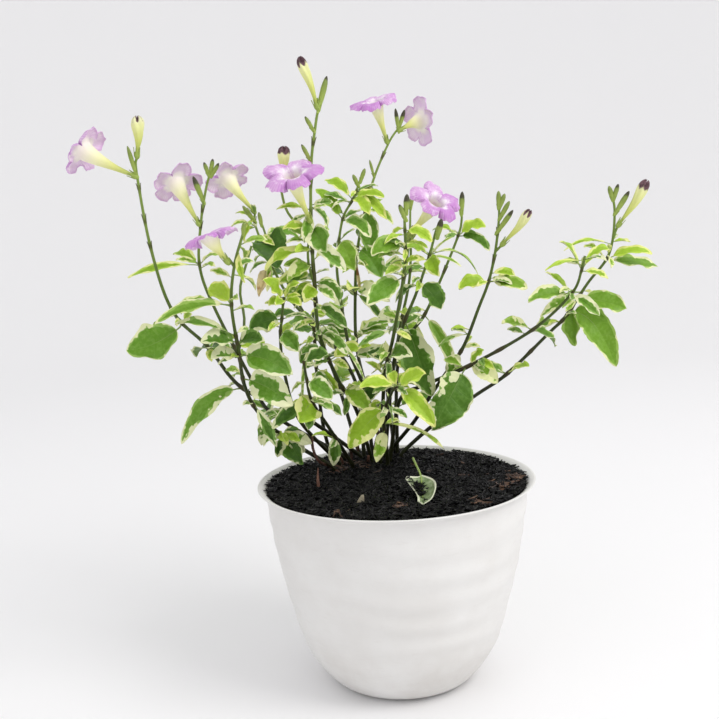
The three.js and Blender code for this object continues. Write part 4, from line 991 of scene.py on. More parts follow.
# At rest the blades hang a little lower than the arcs that keep them clear of each other. Some
# hang in a way of their own, given by the tip: how far it moves, arch of the midrib and width.
hanging = {
    (-166, -7, 216): ((-1, 0, -1), -4, 26), (-138, 6, 150): ((-2, 0, 0), 9, 14),
    (-78, 66, 257): ((4, 0, 3), 6, 27), (-176, 50, 259): ((0, 0, -1), 3, 7),
    (102, 7, 255): ((0, 0, -3), 1, 6), (87, -10, 240): ((0, 0, -4), 2, 12),
    (134, -12, 227): ((-3, 0, -3), 1, 9), (163, 42, 226): ((0, 0, -3), 0, 17),
    (188, 50, 246): ((-1, 0, 4), 0, 12), (179, 38, 264): ((0, 0, -2), 2, 9),
    (153, 40, 184): ((2, 0, -2), 13, 22), (-10, -27, 270): ((0, 0, 0), 4, 13),
    (25, -6, 158): ((3, 0, -3), 2, 29), (-17, -28, 237): ((3, 0, 2), 2, 14),
    (23, 4, 175): ((1, 0, -1), 4, 24), (-60, -34, 167): ((2, 0, 2), 3, 20),
    (-88, 76, 242): ((-2, 0, -3), 1, 13),
}
for leaf in leaves:
    like_most = ((0, 0, 0), leaf["arch"] * 0.5, leaf["width"])
    shift, leaf["arch"], leaf["width"] = hanging.get(tuple(leaf["tip"]), like_most)
    leaf["tip"] = leaf["tip"] + np.array(shift)


def blade_blank(name, columns, rows):
    """A flat thin blade: a grid with a little thickness, closed all round."""
    bpy.ops.object.select_all(action="DESELECT")
    bpy.ops.mesh.primitive_grid_add(x_subdivisions=columns, y_subdivisions=rows, size=2)
    blank = bpy.context.object
    blank.name = name
    thick = blank.modifiers.new("thickness", "SOLIDIFY")
    thick.thickness = 0.02
    thick.offset = 0
    bpy.ops.object.modifier_apply(modifier="thickness")
    return blank


def blade_points(piece):
    """Where a flat blade's points lie: across it from -1 to 1, along it from 0 to 1, and the face."""
    flat = drawn(piece)
    return flat[:, 0], (flat[:, 1] + 1) / 2, np.sign(flat[:, 2])


broad_blade = blade_blank("broad_blade", 16, 48)
small_blade = blade_blank("small_blade", 8, 22)
long_stalk = stalk_blank("long_stalk", 9, 96)
short_stalk = stalk_blank("short_stalk", 6, 14)
chance = random.Random(31)


def lay_blade(leaf, name):
    """Copies the flat blade, cuts its outline and bends it along the leaf's midrib."""
    wide = leaf["width"] >= 9
    dry = leaf["fresh"] > 1.5
    piece = copy_of(broad_blade if wide else small_blade, name)
    u, v, face = blade_points(piece)
    point, side, out = leaf_frame(leaf, blade_start + (1 - blade_start) * v)
    teeth = chance.choice([6, 7, 8])
    phase, sway = chance.uniform(0, 6), chance.uniform(0, 6)
    crimp, crease = chance.uniform(0.02, 0.07), chance.uniform(0.26, 0.5)
    reach = np.clip(np.sin(np.pi * v ** (0.88 if wide else 1)), 0, 1) ** (0.66 if wide else 0.78)
    reach = reach * (1 + 0.1 * np.clip(v - 0.5, 0, 0.3))
    scallop = np.abs(np.sin(np.pi * teeth * v + 0.5 * np.sign(u))) ** 0.8
    lobes = np.sin(math.tau * 1.9 * v + phase + 2 * np.sign(u)) * (1 - v ** 6)
    edge = 1 + (crimp * (scallop - 0.7) * (v < 0.96) + 0.06 * lobes) * np.abs(u) ** 3
    half = leaf["width"] / 2 * reach * (0.91 if wide else 0.88) + 0.2
    across = u * half * edge
    wave = leaf["width"] * 0.06 * np.sin(math.tau * (v - 0.05) / 0.6) * -np.sign(u) * np.abs(u) ** 1.5
    frill = leaf["width"] * 0.055 * np.sin(math.tau * 2.6 * v + phase + 1.7 * np.sign(u)) * np.abs(u) ** 2.5
    fold = (crease + 0.7 * dry) * half * np.abs(u) ** 1.2
    rib = (v * 5.5 - 0.7 * np.abs(u)) * math.tau
    quilt = 0.011 * leaf["width"] * np.sin(rib + sway) * np.abs(u) ** 0.6 * (1 - u ** 4)
    groove = -0.22 * np.exp(-(u / 0.09) ** 2) * reach
    thin = (0.2 * (1 - 0.55 * np.abs(u) ** 2)) * face
    lift = wave + frill + fold + quilt + groove + thin - leaf["droop"] * v ** 3
    shape = point + side * (across * (1 - 0.35 * dry))[:, None] + out * lift[:, None]
    set_in_place(piece, shape)
    upper_side = np.sign(u) == (1 if leaf["tip"][0] < leaf["base"][0] else -1)
    cream = np.where(upper_side, leaf["upper"], leaf["lower"])
    rim = (1 - np.abs(u)) * half + 0.5 * (v > 0.5) * (1 - v) * 2
    border = 0.5 + (rim - cream * 1.05) / 20
    note_down(piece, four(len(u), border, leaf["fresh"] / 2, (face < 0) * 1.0, np.clip(cream / 5, 0.05, 1)))
    piece.data.materials.append(blade_finish.material)
    return piece


def lay_petiole(leaf, name):
    """The leaf's stalk, which runs on under the blade as its midrib."""
    shares = np.linspace(0, 0.93, 15)
    point, _, out = leaf_frame(leaf, shares)
    hung = leaf["droop"] * np.clip((shares - blade_start) / (1 - blade_start), 0, 1) ** 3
    under = np.clip((shares - 0.1) / 0.12, 0, 1) * 0.28 + hung
    path = point - out * under[:, None]
    path[0] = at_height(fine[leaf["stem"]], leaf["base"][2])
    big = min(1.0, 0.5 + leaf["width"] / 40)

    def radius_at(share, _):
        return np.interp(share, [0, 0.06, 0.3, 1], [0.75 * big, 0.55 * big, 0.46 * big, 0.12])

    piece = bend_stalk(short_stalk, name, path, radius_at,
                       lambda s: four(len(s), 0, min(1, leaf["fresh"]), 0, 0.6))
    piece.data.materials.append(stalk_finish.material)
    return piece


# Stalks are smooth and faintly ribbed, deep green low down, where they are old and woody and the dark
# is partly painted shade; leaf stalks and flower stalks are paler. The blades are green in two or
# three tones inside a ragged cream edge, greyer underneath, with sunk veins and a soft shine.
stalk_finish = Finish("green_stalk", Specular_IOR_Level=0.25)
place = stalk_finish.place()
node, fresh, _, kind = stalk_finish.note("growth")
# Darker low on the stems and paler up high: partly the old woody stem, partly painted shade low in the bush.
age_and_low_shade = stalk_finish.ramp(stalk_finish.height_of(place), 0.16, 0.34)
mottle = stalk_finish.cloud(stalk_finish.stretch(place, (1, 1, 0.25)), 240, 3, 0.6)
bark = stalk_finish.shades(stalk_finish.sum("ADD", age_and_low_shade, stalk_finish.ramp(mottle, 0, 1, -0.15, 0.15)), [
    (0.0, rgb(38, 40, 20)), (0.25, rgb(58, 70, 30)), (0.6, rgb(90, 112, 44)), (1.0, rgb(122, 144, 66)),
])
bark = stalk_finish.blend(stalk_finish.ramp(node, 0.1, 0.8, 0.0, 0.8), bark, rgb(62, 54, 30))
thin = stalk_finish.blend(fresh, rgb(82, 106, 54), rgb(156, 178, 96))
stalk_finish.colour(stalk_finish.blend(stalk_finish.ramp(kind, 0.1, 0.5), bark, thin))
stalk_finish.rough(stalk_finish.ramp(mottle, 0.2, 0.8, 0.34, 0.52))
stalk_finish.relief(mottle, 0.2, 0.0006)

blade_finish = Finish("variegated_leaf", Specular_IOR_Level=0.26)
place = blade_finish.place()
border, half_fresh, under, cream_share = blade_finish.note("growth")
fresh = blade_finish.sum("MULTIPLY", half_fresh, 2)
ragged = blade_finish.cloud(place, 125, 2, 0.5)
flake = blade_finish.cloud(place, 420, 2, 0.5)
grid_place = blade_finish.tree.nodes.new("ShaderNodeUVMap").outputs["UV"]
parts = blade_finish.tree.nodes.new("ShaderNodeSeparateXYZ")
blade_finish.join(grid_place, parts.inputs["Vector"])
off_rib = blade_finish.sum("ABSOLUTE", blade_finish.sum("SUBTRACT", parts.outputs["X"], 0.5))
up_rib = blade_finish.sum("MULTIPLY", parts.outputs["Y"], 5.5)
between = blade_finish.sum("FRACT", blade_finish.sum("MULTIPLY_ADD", off_rib, -1.4, up_rib))
vein_wave = blade_finish.sum("ABSOLUTE", blade_finish.sum("SUBTRACT", between, 0.5))
side_vein = blade_finish.ramp(vein_wave, 0.0, 0.09, 1.0, 0.0)
mid_vein = blade_finish.ramp(off_rib, 0.0, 0.025, 1.0, 0.0)
vein = blade_finish.sum("MAXIMUM", mid_vein, blade_finish.sum("MULTIPLY", side_vein, 0.5))
flame = blade_finish.sum("ADD", blade_finish.ramp(ragged, 0.32, 0.68, -0.34, 0.3),
                         blade_finish.ramp(vein_wave, 0.0, 0.5, -0.05, 0.06))
jag = blade_finish.sum("MULTIPLY", flame, cream_share)
cream_line = blade_finish.sum("ADD", border, jag)
cream = blade_finish.ramp(cream_line, 0.488, 0.51, 1.0, 0.0)
pale_line = blade_finish.sum("ADD", cream_line, blade_finish.ramp(ragged, 0.3, 0.7, 0.07, -0.07))
pale_zone = blade_finish.ramp(pale_line, 0.535, 0.555, 1.0, 0.0)
deep = blade_finish.shades(fresh, [
    (0.0, rgb(40, 76, 4)), (0.25, rgb(70, 111, 20)), (0.5, rgb(96, 142, 34)), (0.75, rgb(138, 174, 34)),
    (1.0, rgb(166, 198, 54)),
])
light = blade_finish.shades(fresh, [
    (0.0, rgb(70, 108, 24)), (0.25, rgb(116, 154, 68)), (0.5, rgb(142, 176, 86)), (0.75, rgb(164, 196, 64)),
    (1.0, rgb(190, 216, 86)),
])
margin = blade_finish.shades(fresh, [
    (0.0, rgb(206, 212, 160)), (0.45, rgb(226, 228, 186)), (0.8, rgb(222, 226, 140)),
    (1.0, rgb(216, 222, 120)),
])
green = blade_finish.blend(blade_finish.ramp(flake, 0.4, 0.65, 0.0, 0.25), deep, light)
green = blade_finish.blend(pale_zone, green, light)
green = blade_finish.blend(blade_finish.sum("MULTIPLY", vein, 0.22), green, light)
face = blade_finish.blend(cream, green, margin)
back = blade_finish.blend(cream, blade_finish.blend(0.35, green, rgb(150, 176, 106)), margin)
withered = blade_finish.blend(blade_finish.ramp(ragged, 0.5, 0.66), rgb(232, 218, 176), rgb(168, 122, 84))
living = blade_finish.blend(under, face, back)
blade_finish.colour(blade_finish.blend(blade_finish.ramp(fresh, 1.3, 1.6), living, withered))
blade_finish.rough(blade_finish.ramp(flake, 0.2, 0.8, 0.4, 0.52))
raised = blade_finish.sum("MULTIPLY_ADD", vein, -0.7, blade_finish.sum("MULTIPLY", flake, 0.35))
blade_finish.relief(raised, 0.3, 0.0008)


def gather(pieces, name):
    bpy.ops.object.select_all(action="DESELECT")
    for piece in pieces:
        piece.select_set(True)
    bpy.context.view_layer.objects.active = pieces[0]
    bpy.ops.object.join()
    pieces[0].name = name
    return pieces[0]


# Young buds stand in the axils near the tips: green and club-shaped, some with a blunt tip gone
# near black. The row gives stem, foot, tip, thickness and how dark the tip is.
green_bud_rows = [
    ("stem_01", (-153, -2, 322), (-157, -4, 341), 1.5, 0.2),
    ("stem_02", (-115, 55, 325), (-113, 55, 334), 1.6, 0.5),
    ("stem_02", (-116, 55, 322), (-119, 54, 332), 1.6, 0.5),
    ("stem_02", (-115, 55, 322), (-109, 54, 331), 1.6, 0.5),
    ("stem_02", (-121, 56, 305), (-127, 54, 323), 2.1, 0.8),
    ("stem_03", (-83, -60, 285), (-82, -61, 292), 1.5, 0.1),
    ("stem_04", (-90, 88, 290), (-98, 84, 302), 1.9, 0.1),
    ("stem_05", (-38, -25, 355), (-32, -22, 375), 2.0, 0.4),
    ("stem_05", (-41, -24, 343), (-46, -26, 352), 1.4, 0.3),
    ("stem_05", (-44, -22, 326), (-49, -24, 336), 1.4, 0.3),
    ("stem_06", (-14, 107, 315), (-10, 107, 325), 1.8, 0.2),
    ("stem_06", (-15, 107, 312), (-19, 106, 321), 1.8, 0.1),
    ("stem_07", (-3, 131, 319), (-6, 130, 332), 1.2, 0.2),
    ("stem_07", (17, 136, 354), (22, 136, 368), 1.8, 1.0),
    ("stem_07", (17, 136, 352), (15, 134, 369), 1.7, 0.9),
    ("stem_08", (12, -20, 292), (13, -20, 304), 2.1, 1.0),
    ("stem_08", (12, -20, 288), (8, -20, 298), 1.8, 0.4),
    ("stem_09", (17, 33, 274), (19, 35, 284), 1.6, 0.6),
    ("stem_09", (17, 33, 274), (23, 36, 283), 1.6, 0.6),
    ("stem_10", (32, 0, 276), (35, -2, 288), 2.2, 1.0),
    ("stem_11", (56, 77, 289), (57, 77, 305), 2.1, 0.9),
    ("stem_12", (77, 40, 292), (77, 39, 304), 1.8, 0.1),
    ("stem_12", (77, 40, 292), (81, 38, 302), 1.8, 0.1),
    ("stem_12", (77, 40, 285), (84, 38, 297), 1.8, 0.2),
    ("stem_12", (75, 40, 276), (86, 37, 291), 1.9, 0.6),
    ("stem_14", (154, 43, 294), (151, 42, 304), 1.8, 0.1),
    ("stem_14", (154, 43, 294), (157, 41, 305), 1.7, 0.6),
    ("stem_14", (155, 43, 285), (164, 40, 300), 2.0, 0.6),
    ("stem_19", (24, 142, 294), (26, 143, 305), 1.8, 0.3),
    ("stem_20", (-90, 138, 286), (-92, 139, 297), 1.8, 0.3),
]
bud_stalk = stalk_blank("bud_stalk", 10, 18)
sepal_blank = blade_blank("sepal_blank", 3, 8)

bud_finish = Finish("green_bud", IOR=1.45)
place = bud_finish.place()
dusk, _, share, _ = bud_finish.note("growth")
speckle = bud_finish.cloud(place, 500, 3, 0.6)
where = bud_finish.sum("ADD", share, bud_finish.ramp(speckle, 0, 1, -0.07, 0.07))
fresh_bud = bud_finish.shades(where, [
    (0.0, rgb(158, 180, 86)), (0.5, rgb(142, 160, 72)), (0.8, rgb(120, 138, 62)), (1.0, rgb(128, 142, 72)),
])
tip_line = bud_finish.sum("MULTIPLY_ADD", dusk, 0.4, where)
tip_shade = bud_finish.ramp(tip_line, 1.0, 1.12, 0.0, 0.9)
bud_finish.colour(bud_finish.blend(tip_shade, fresh_bud, rgb(44, 34, 30)))
bud_finish.rough(bud_finish.ramp(speckle, 0.2, 0.8, 0.42, 0.6))
bud_finish.relief(speckle, 0.3, 0.0005)


def lay_bud(foot, tip, thickness, dusk, name):
    """Bends a stalk blank into a club-shaped bud."""
    foot, tip = np.array(foot, float), np.array(tip, float)

    def radius_at(share, _):
        return np.interp(share, [0, 0.14, 0.4, 0.66, 0.82, 0.94, 1],
                         np.array([0.42, 0.52, 0.86, 0.95, 0.8, 0.5, 0.16]) * thickness)

    piece = bend_stalk(bud_stalk, name, np.linspace(foot - (tip - foot) * 0.08, tip, 6), radius_at,
                       lambda s: four(len(s), dusk, 0, s, 1))
    piece.data.materials.append(bud_finish.material)
    return piece


def lay_sepals(foot, toward, radius, length, count, flare, name, woody=False):
    """Narrow pointed sepals round the foot of a flower or bud, or brown scales round a node."""
    foot, toward = np.array(foot, float), np.array(toward, float)
    ahead = unit(toward - foot)
    across = unit(np.cross(ahead, [0.3, 1, 0.2]))
    over = np.cross(ahead, across)
    made = []
    for k in range(count):
        turn = k / count * math.tau + 0.5
        out = across * math.cos(turn) + over * math.sin(turn)
        side = np.cross(ahead, out)
        piece = copy_of(sepal_blank, f"{name}_{k}")
        u, v, face = blade_points(piece)
        half = 0.75 * np.clip(1 - v, 0, 1) ** 0.7 + 0.06
        away = radius * np.clip(0.5 + v * 2.5, 0, 1) + flare * v ** 2 + 0.16 * face - 0.15 * u ** 2
        shape = foot + np.outer(v * length - 0.8, ahead) + np.outer(away, out) + np.outer(u * half, side)
        set_in_place(piece, shape)
        marks = (1, 0, 0, 0) if woody else (0, 0, 0.15 + 0.5 * v, 1)
        note_down(piece, four(len(u), *marks))
        finish = stalk_finish if woody else bud_finish
        piece.data.materials.append(finish.material)
        made.append(piece)
    return made


# Some leaves have gone from the stems and left bare nodes, a little swollen and brownish, with two
# small dry scales on each. All that grows on a stem is one piece with it.
bare_nodes = {
    "stem_01": (314, 295, 278), "stem_02": (300, 289), "stem_05": (336, 312), "stem_07": (334, 308),
    "stem_12": (276, 258), "stem_13": (201,), "stem_14": (177, 192), "stem_11": (250,), "stem_04": (290,),
}
grown = {name: [] for name in stems}
for name in stems:
    nodes = [leaf["base"][2] for leaf in leaves if leaf["stem"] == name and leaf["width"] > 7]
    nodes = sorted({*nodes, *bare_nodes.get(name, ())})
    path = fine[name]

    def closeness(share, nodes=nodes, path=path):
        """How near each share of the stem is to a node: 1 on it, 0 away from it."""
        length = np.concatenate([[0], np.cumsum(np.linalg.norm(np.diff(path, axis=0), axis=1))])
        heights = np.interp(share * length[-1], length, path[:, 2])
        gaps = np.abs(heights[:, None] - np.array(nodes or [0])[None, :] - 0.5)
        return np.exp(-(gaps.min(1) / 1.7) ** 2)

    def radius_at(share, _, closeness=closeness):
        """Thick below, slim above, swollen just over each node."""
        return np.interp(share, [0, 0.5, 1], [1.5, 1.2, 0.8]) * (1 + 0.36 * closeness(share))

    stalk = bend_stalk(long_stalk, name + "_stalk", path, radius_at,
                       lambda s, closeness=closeness: four(len(s), closeness(s), 0, 0, 0))
    stalk.data.materials.append(stalk_finish.material)
    grown[name].append(stalk)
    for k, height in enumerate(bare_nodes.get(name, ())):
        low, high = at_height(path, height), at_height(path, height + 4)
        grown[name] += lay_sepals(low, high, 1.0, 5.2, 2, 0.5, f"{name}_scale_{k}", woody=True)
for k, (stem, route) in enumerate(shoots):
    twig = bend_stalk(short_stalk, f"shoot_{k}", smooth_path(route, 6),
                      lambda share, _: np.interp(share, [0, 1], [0.95, 0.8]),
                      lambda s: four(len(s), 0, 0.6, 0, 0.2))
    twig.data.materials.append(stalk_finish.material)
    grown[stem].append(twig)
for k, leaf in enumerate(leaves):
    leaf["droop"] = chance.uniform(0.02, 0.2) * np.linalg.norm(leaf["tip"] - leaf["base"])
    grown[leaf["stem"]] += [lay_petiole(leaf, f"petiole_{k}"), lay_blade(leaf, f"blade_{k}")]
for k, (stem, foot, tip, thickness, dusk) in enumerate(green_bud_rows):
    grown[stem].append(lay_bud(foot, tip, thickness, dusk, f"green_bud_{k}"))
    grown[stem] += lay_sepals(foot, tip, 0.6 * thickness, 4.5, 3, 0.6, f"bract_{k}")
for k, (stem, foot, toward, *_) in enumerate([*bloom_rows.values(), *bud_rows.values()]):
    grown[stem] += lay_sepals(foot, toward, 1.75, 7.0, 5, 0.5, f"sepal_{k}")
    foot = np.array(foot, float)
    ahead = unit(np.array(toward, float) - foot)
    cup = bend_stalk(bud_stalk, f"cup_{k}", np.linspace(foot - ahead * 1.2, foot + ahead * 3.4, 6),
                     lambda share, _: np.interp(share, [0, 0.3, 1], [0.8, 1.7, 1.5]),
                     lambda s: four(len(s), 0, 0, s * 0.2, 1))
    cup.data.materials.append(bud_finish.material)
    grown[stem].append(cup)
for name, pieces in grown.items():
    leafy = gather(pieces, "leafy_" + name)
    smooth(leafy, 60)
    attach(leafy, "root")
    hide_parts(name)

# Old growth at the foot of the bush: one brown woody runner that bends down to the husks, a dry
# reddish sheath that stands beside it, and short broken stubs among the stems.
dry_rows = [
    ([(-54, 14, 149), (-53.6, 12, 141), (-50, 10, 133), (-44, 28, 124.5), (-36, 19, 121.5)], 1.1, 0.8),
    ([(-29, 53, 119), (-29, 52, 127), (-31, 50, 134)], 1.3, 0.9),
    ([(-25, 66, 119), (-24, 64, 130)], 1.4, 1.1),
    ([(-34, 43, 119), (-36, 41, 126), (-39, 38, 130)], 1.1, 0.7),
    ([(-18, 44, 119), (-17, 42, 127)], 1.3, 1.0),
    ([(-13, 70, 119), (-11, 70, 131), (-8, 69, 138)], 1.3, 0.8),
    ([(-50, -10, 119.5), (-50.4, -9, 126), (-50, -7, 133)], 1.5, 0.4),
    ([(-30, 20, 120), (-18, 10, 121.6), (-8, 4, 121.2)], 0.8, 0.6),
]
dry_finish = Finish("dry_stalk", Roughness=0.7)
place = dry_finish.place()
grain = dry_finish.cloud(dry_finish.stretch(place, (1, 1, 0.2)), 300, 4, 0.6)
dry_finish.colour(dry_finish.shades(grain, [
    (0.25, rgb(38, 22, 16)), (0.5, rgb(88, 54, 40)), (0.75, rgb(132, 96, 76)),
]))
dry_finish.relief(grain, 0.4, 0.0006)
dry_pieces = []
for k, (route, low, high) in enumerate(dry_rows):
    twig = bend_stalk(short_stalk, f"dry_stalk_{k}", smooth_path(route, 5),
                      lambda share, _, low=low, high=high: np.interp(share, [0, 1], [low, high]))
    twig.data.materials.append(dry_finish.material)
    dry_pieces.append(twig)
dry_stalks = gather(dry_pieces, "dry_stalks")
smooth(dry_stalks, 60)
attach(dry_stalks, "root")

# A flower is one thin funnel: a slim greenish tube that widens to an open throat and five round,
# crinkled lobes. Inside it is lilac round a white throat, and paler behind.
flower_blank = stalk_blank("flower_blank", 75, 36)
bpy.ops.object.mode_set(mode="EDIT")
bpy.ops.mesh.select_mode(type="FACE")
bpy.ops.mesh.select_all(action="DESELECT")
bpy.ops.object.mode_set(mode="OBJECT")
for face in flower_blank.data.polygons:
    face.select = abs(face.normal.z) > 0.9
bpy.ops.object.mode_set(mode="EDIT")
bpy.ops.mesh.delete(type="FACE")
bpy.ops.object.mode_set(mode="OBJECT")


def petal_finish(name, inner):
    """Lilac lobes round a pale throat, stronger and netted inside, paler behind."""
    finish = Finish(name, IOR=1.4)
    place = finish.place()
    limb, tube, lobe, deep = finish.note("growth")
    crinkle = finish.cloud(place, 420, 3, 0.6)
    soft = finish.cloud(place, 90, 2, 0.5)
    across = finish.sum("ABSOLUTE", finish.sum("SUBTRACT", lobe, 0.5))
    ribbing = finish.sum("ABSOLUTE", finish.sum("SINE", finish.sum("MULTIPLY", lobe, 44)))
    streaks = finish.ramp(ribbing, 0, 0.6, 1, 0)
    if inner:
        lilac = finish.blend(finish.ramp(soft, 0.35, 0.65), rgb(198, 142, 203), rgb(216, 174, 217))
        creased = finish.sum("MULTIPLY", finish.ramp(crinkle, 0.5, 0.62), 0.4)
        lilac = finish.blend(creased, lilac, rgb(244, 230, 244))
        lilac = finish.blend(finish.sum("MULTIPLY", streaks, 0.5), lilac, rgb(168, 98, 180))
        lilac = finish.blend(finish.sum("MULTIPLY", deep, 0.45), lilac, rgb(178, 100, 188))
        edge = finish.sum("ADD", limb, finish.ramp(across, 0, 0.5, 0.0, 0.2))
        ragged_edge = finish.sum("ADD", edge, finish.ramp(crinkle, 0.3, 0.7, -0.14, 0.14))
        white = finish.ramp(ragged_edge, 0.0, 0.4, 0.9, 0)
        throat = finish.blend(finish.ramp(tube, 0.55, 0.98), rgb(214, 208, 140), rgb(246, 240, 244))
    else:
        lilac = finish.blend(finish.ramp(soft, 0.35, 0.65), rgb(233, 206, 237), rgb(244, 228, 246))
        lilac = finish.blend(finish.sum("MULTIPLY", streaks, 0.4), lilac, rgb(206, 162, 212))
        lilac = finish.blend(finish.ramp(limb, 0.8, 1.0, 0.0, 0.6), lilac, rgb(200, 148, 206))
        ragged_edge = finish.sum("ADD", limb, finish.ramp(crinkle, 0, 1, -0.1, 0.1))
        white = finish.ramp(ragged_edge, 0.02, 0.42, 1, 0)
        throat = finish.shades(tube, [
            (0.0, rgb(176, 190, 96)), (0.3, rgb(220, 222, 132)), (0.6, rgb(244, 242, 190)),
            (1.0, rgb(252, 246, 238)),
        ])
    finish.colour(finish.blend(white, lilac, throat))
    finish.rough(finish.ramp(crinkle, 0.2, 0.8, 0.5, 0.68))
    finish.relief(finish.sum("MULTIPLY_ADD", streaks, 0.5, crinkle), 0.3, 0.0008)
    finish.shader.inputs["Sheen Weight"].default_value = 0.1
    return finish


petal_inside = petal_finish("petal_inside", True)
petal_outside = petal_finish("petal_outside", False)
tube_end = 0.42
throat_radius = 6.3
for index, (name, (_, foot, throat, face, turned_by, size)) in enumerate(bloom_rows.items()):
    flower = copy_of(flower_blank, "flower_" + name[-1])
    straight = drawn(flower)
    share = straight[:, 2] + 0.5
    turn = np.arctan2(straight[:, 1], straight[:, 0])
    start, mouth, out = np.array(foot, float), np.array(throat, float), unit(np.array(face))
    first = start + unit(mouth - start) * 2.5
    knee = mouth - out * np.linalg.norm(mouth - first) * 0.35
    tube = np.clip(share / tube_end, 0, 1)[:, None]
    low, high = first + (knee - first) * tube, knee + (mouth - knee) * tube
    point = low + (high - low) * tube
    ahead = np.where(tube >= 1, out, unit(high - low + 1e-9))
    leaning = np.array([1.0, 0, 0]) if abs(out[2]) > 0.9 else np.array([0, 0, 1.0])
    across = unit(leaning - ahead * (ahead @ leaning)[:, None])
    over = np.cross(ahead, across)
    limb = np.clip((share - tube_end) / (1 - tube_end), 0, 1)
    part = np.mod(turn, math.tau) / math.tau * 5
    order = np.floor(part)
    lobe = part - order
    x = np.abs(lobe * 2 - 1)
    outline = 0.42 + 0.58 * np.clip(1 - x ** 2.3, 0, 1) ** 0.5 - 0.035 * np.exp(-(x / 0.14) ** 2)
    tube_radius = np.interp(tube[:, 0], [0, 0.3, 0.6, 0.85, 1], [1.0, 2.0, 3.9, 5.5, throat_radius])
    bloom_size = size * (1 + 0.06 * np.sin(2.1 * index + order * 1.7))
    lobe_radius = throat_radius + (bloom_size * outline - throat_radius) * limb ** 0.9
    radius = np.where(limb > 0, lobe_radius, tube_radius)
    bowl = 1.6 * np.sin(np.pi * limb) - (1.0 + 1.2 * np.sin(1.3 * index + order * 2.2)) * limb ** 2
    furl = -1.7 * limb ** 2 * x ** 2.2
    frill = 0.7 * limb ** 3 * np.sin(turn * 15 + index * 1.3) + 0.35 * limb ** 4 * np.sin(turn * 31 + index)
    sway = 0.9 * limb ** 2 * np.sin(math.tau * lobe + 0.7 * order + index)
    lift = bowl + furl + frill + sway
    spun = turn + math.radians(turned_by)
    shape = point + across * (radius * np.cos(spun))[:, None] + over * (radius * np.sin(spun))[:, None]
    set_in_place(flower, shape + ahead * lift[:, None])
    low_lobe = np.where((order == 2) | (order == 3), 1.0, 0.0)
    note_down(flower, four(len(share), limb, tube[:, 0], lobe, low_lobe))
    pick(flower)
    flower.data.materials.append(petal_outside.material)
    flower.data.materials.append(petal_inside.material)
    wall = flower.modifiers.new("wall", "SOLIDIFY")
    wall.thickness = 0.0004
    wall.offset = -1
    wall.material_offset = 1
    bpy.ops.object.modifier_apply(modifier="wall")
    smooth(flower, 70)
    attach(flower, "root")
    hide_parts(name)

# A flower about to open is a furled pale tube with a folded, blunt tip gone dark purple-brown. It
# swells above the cup, and its folds run up it in slow turns.
furled_blank = stalk_blank("furled_blank", 30, 34)
furled = Finish("furled_petals", IOR=1.42)
place = furled.place()
dusk, fold, share, _ = furled.note("growth")
speckle = furled.cloud(place, 380, 3, 0.6)
where = furled.sum("ADD", share, furled.ramp(speckle, 0, 1, -0.05, 0.05))
pale = furled.shades(where, [
    (0.0, rgb(166, 182, 84)), (0.35, rgb(204, 210, 112)), (0.74, rgb(228, 230, 160)),
    (1.0, rgb(222, 220, 184)),
])
in_folds = furled.sum("MULTIPLY", fold, furled.sum("MULTIPLY_ADD", dusk, 0.1, -0.12))
streaky = furled.sum("ADD", where, in_folds)
reached = furled.sum("ADD", streaky, furled.sum("MULTIPLY", dusk, 0.1))
dark = furled.blend(furled.ramp(speckle, 0.35, 0.65), rgb(66, 40, 48), rgb(112, 80, 88))
furled.colour(furled.blend(furled.ramp(reached, 0.87, 0.93), pale, dark))
furled.rough(furled.ramp(speckle, 0.2, 0.8, 0.48, 0.65))
furled.relief(speckle, 0.3, 0.0006)
for name, (_, foot, tip, thickness, dusk) in bud_rows.items():
    foot, tip = np.array(foot, float), np.array(tip, float)
    start = foot + unit(tip - foot) * 2.5
    bend = (start + tip) / 2 + np.array([0.8, 0, -0.6])
    line = smooth_path([start, bend, tip], 6)

    def radius_at(share, _, thickness=thickness):
        full = thickness * 0.92
        return np.interp(share, [0, 0.14, 0.42, 0.68, 0.82, 0.91, 0.97, 1],
                         [1, 1.1, 0.62 * full, 0.92 * full, full, 0.86 * full, 0.56 * full, 0.22 * full])

    bud = bend_stalk(furled_blank, "closed_flower_" + name[-1], line, radius_at)
    shape = drawn(bud) / MM - (0, 0, plant_lift)
    middle, side, over, _ = along_path(line, np.linspace(0, 1, 60))
    nearest = np.linalg.norm(shape[:, None, :] - middle[None, :, :], axis=2).argmin(1)
    spoke = shape - middle[nearest]
    turn = np.arctan2((spoke * over[nearest]).sum(1), (spoke * side[nearest]).sum(1))
    folds = np.sin(5 * turn + nearest * 0.1)
    pleat = 1 + 0.16 * folds * np.clip(nearest / 50, 0, 1)
    crown = 1.3 * folds * np.clip((nearest - 46) / 10, 0, 1)
    note_down(bud, four(len(nearest), dusk, 0.5 + 0.5 * folds, nearest / 59, 1))
    ahead = unit(tip - start)
    set_in_place(bud, middle[nearest] + spoke * pleat[:, None] + crown[:, None] * ahead)
    bud.data.materials.append(furled.material)
    smooth(bud, 60)
    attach(bud, "root")
    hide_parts(name)

# One cast leaf lies on the husks, cupped: its faded blade has curled up at its cream edges, its
# stalk still points back at the stems, and dark husks lie in the hollow.
cast_rows = [
    ((14.6, -31, 131.2), (-0.9, 0), (0.9, 0)), ((14.5, -38, 126.8), (-9.6, 5.4), (7.2, 4.4)),
    ((14.2, -49, 122.3), (-3.6, 3.0), (8.2, 7.0)), ((13.8, -57, 121.9), (-3.0, 1.2), (5.8, 3.8)),
    ((13.6, -61, 122.2), (-0.9, 0.2), (0.9, 0.3)),
]
cast_rib = smooth_path([rib for rib, _, _ in cast_rows], 12)
cast_left = smooth_path([left for _, left, _ in cast_rows], 12)
cast_right = smooth_path([right for _, _, right in cast_rows], 12)
cast_leaf = copy_of(broad_blade, "cast_blade")
u, v, face = blade_points(cast_leaf)
row = v * (len(cast_rib) - 1)


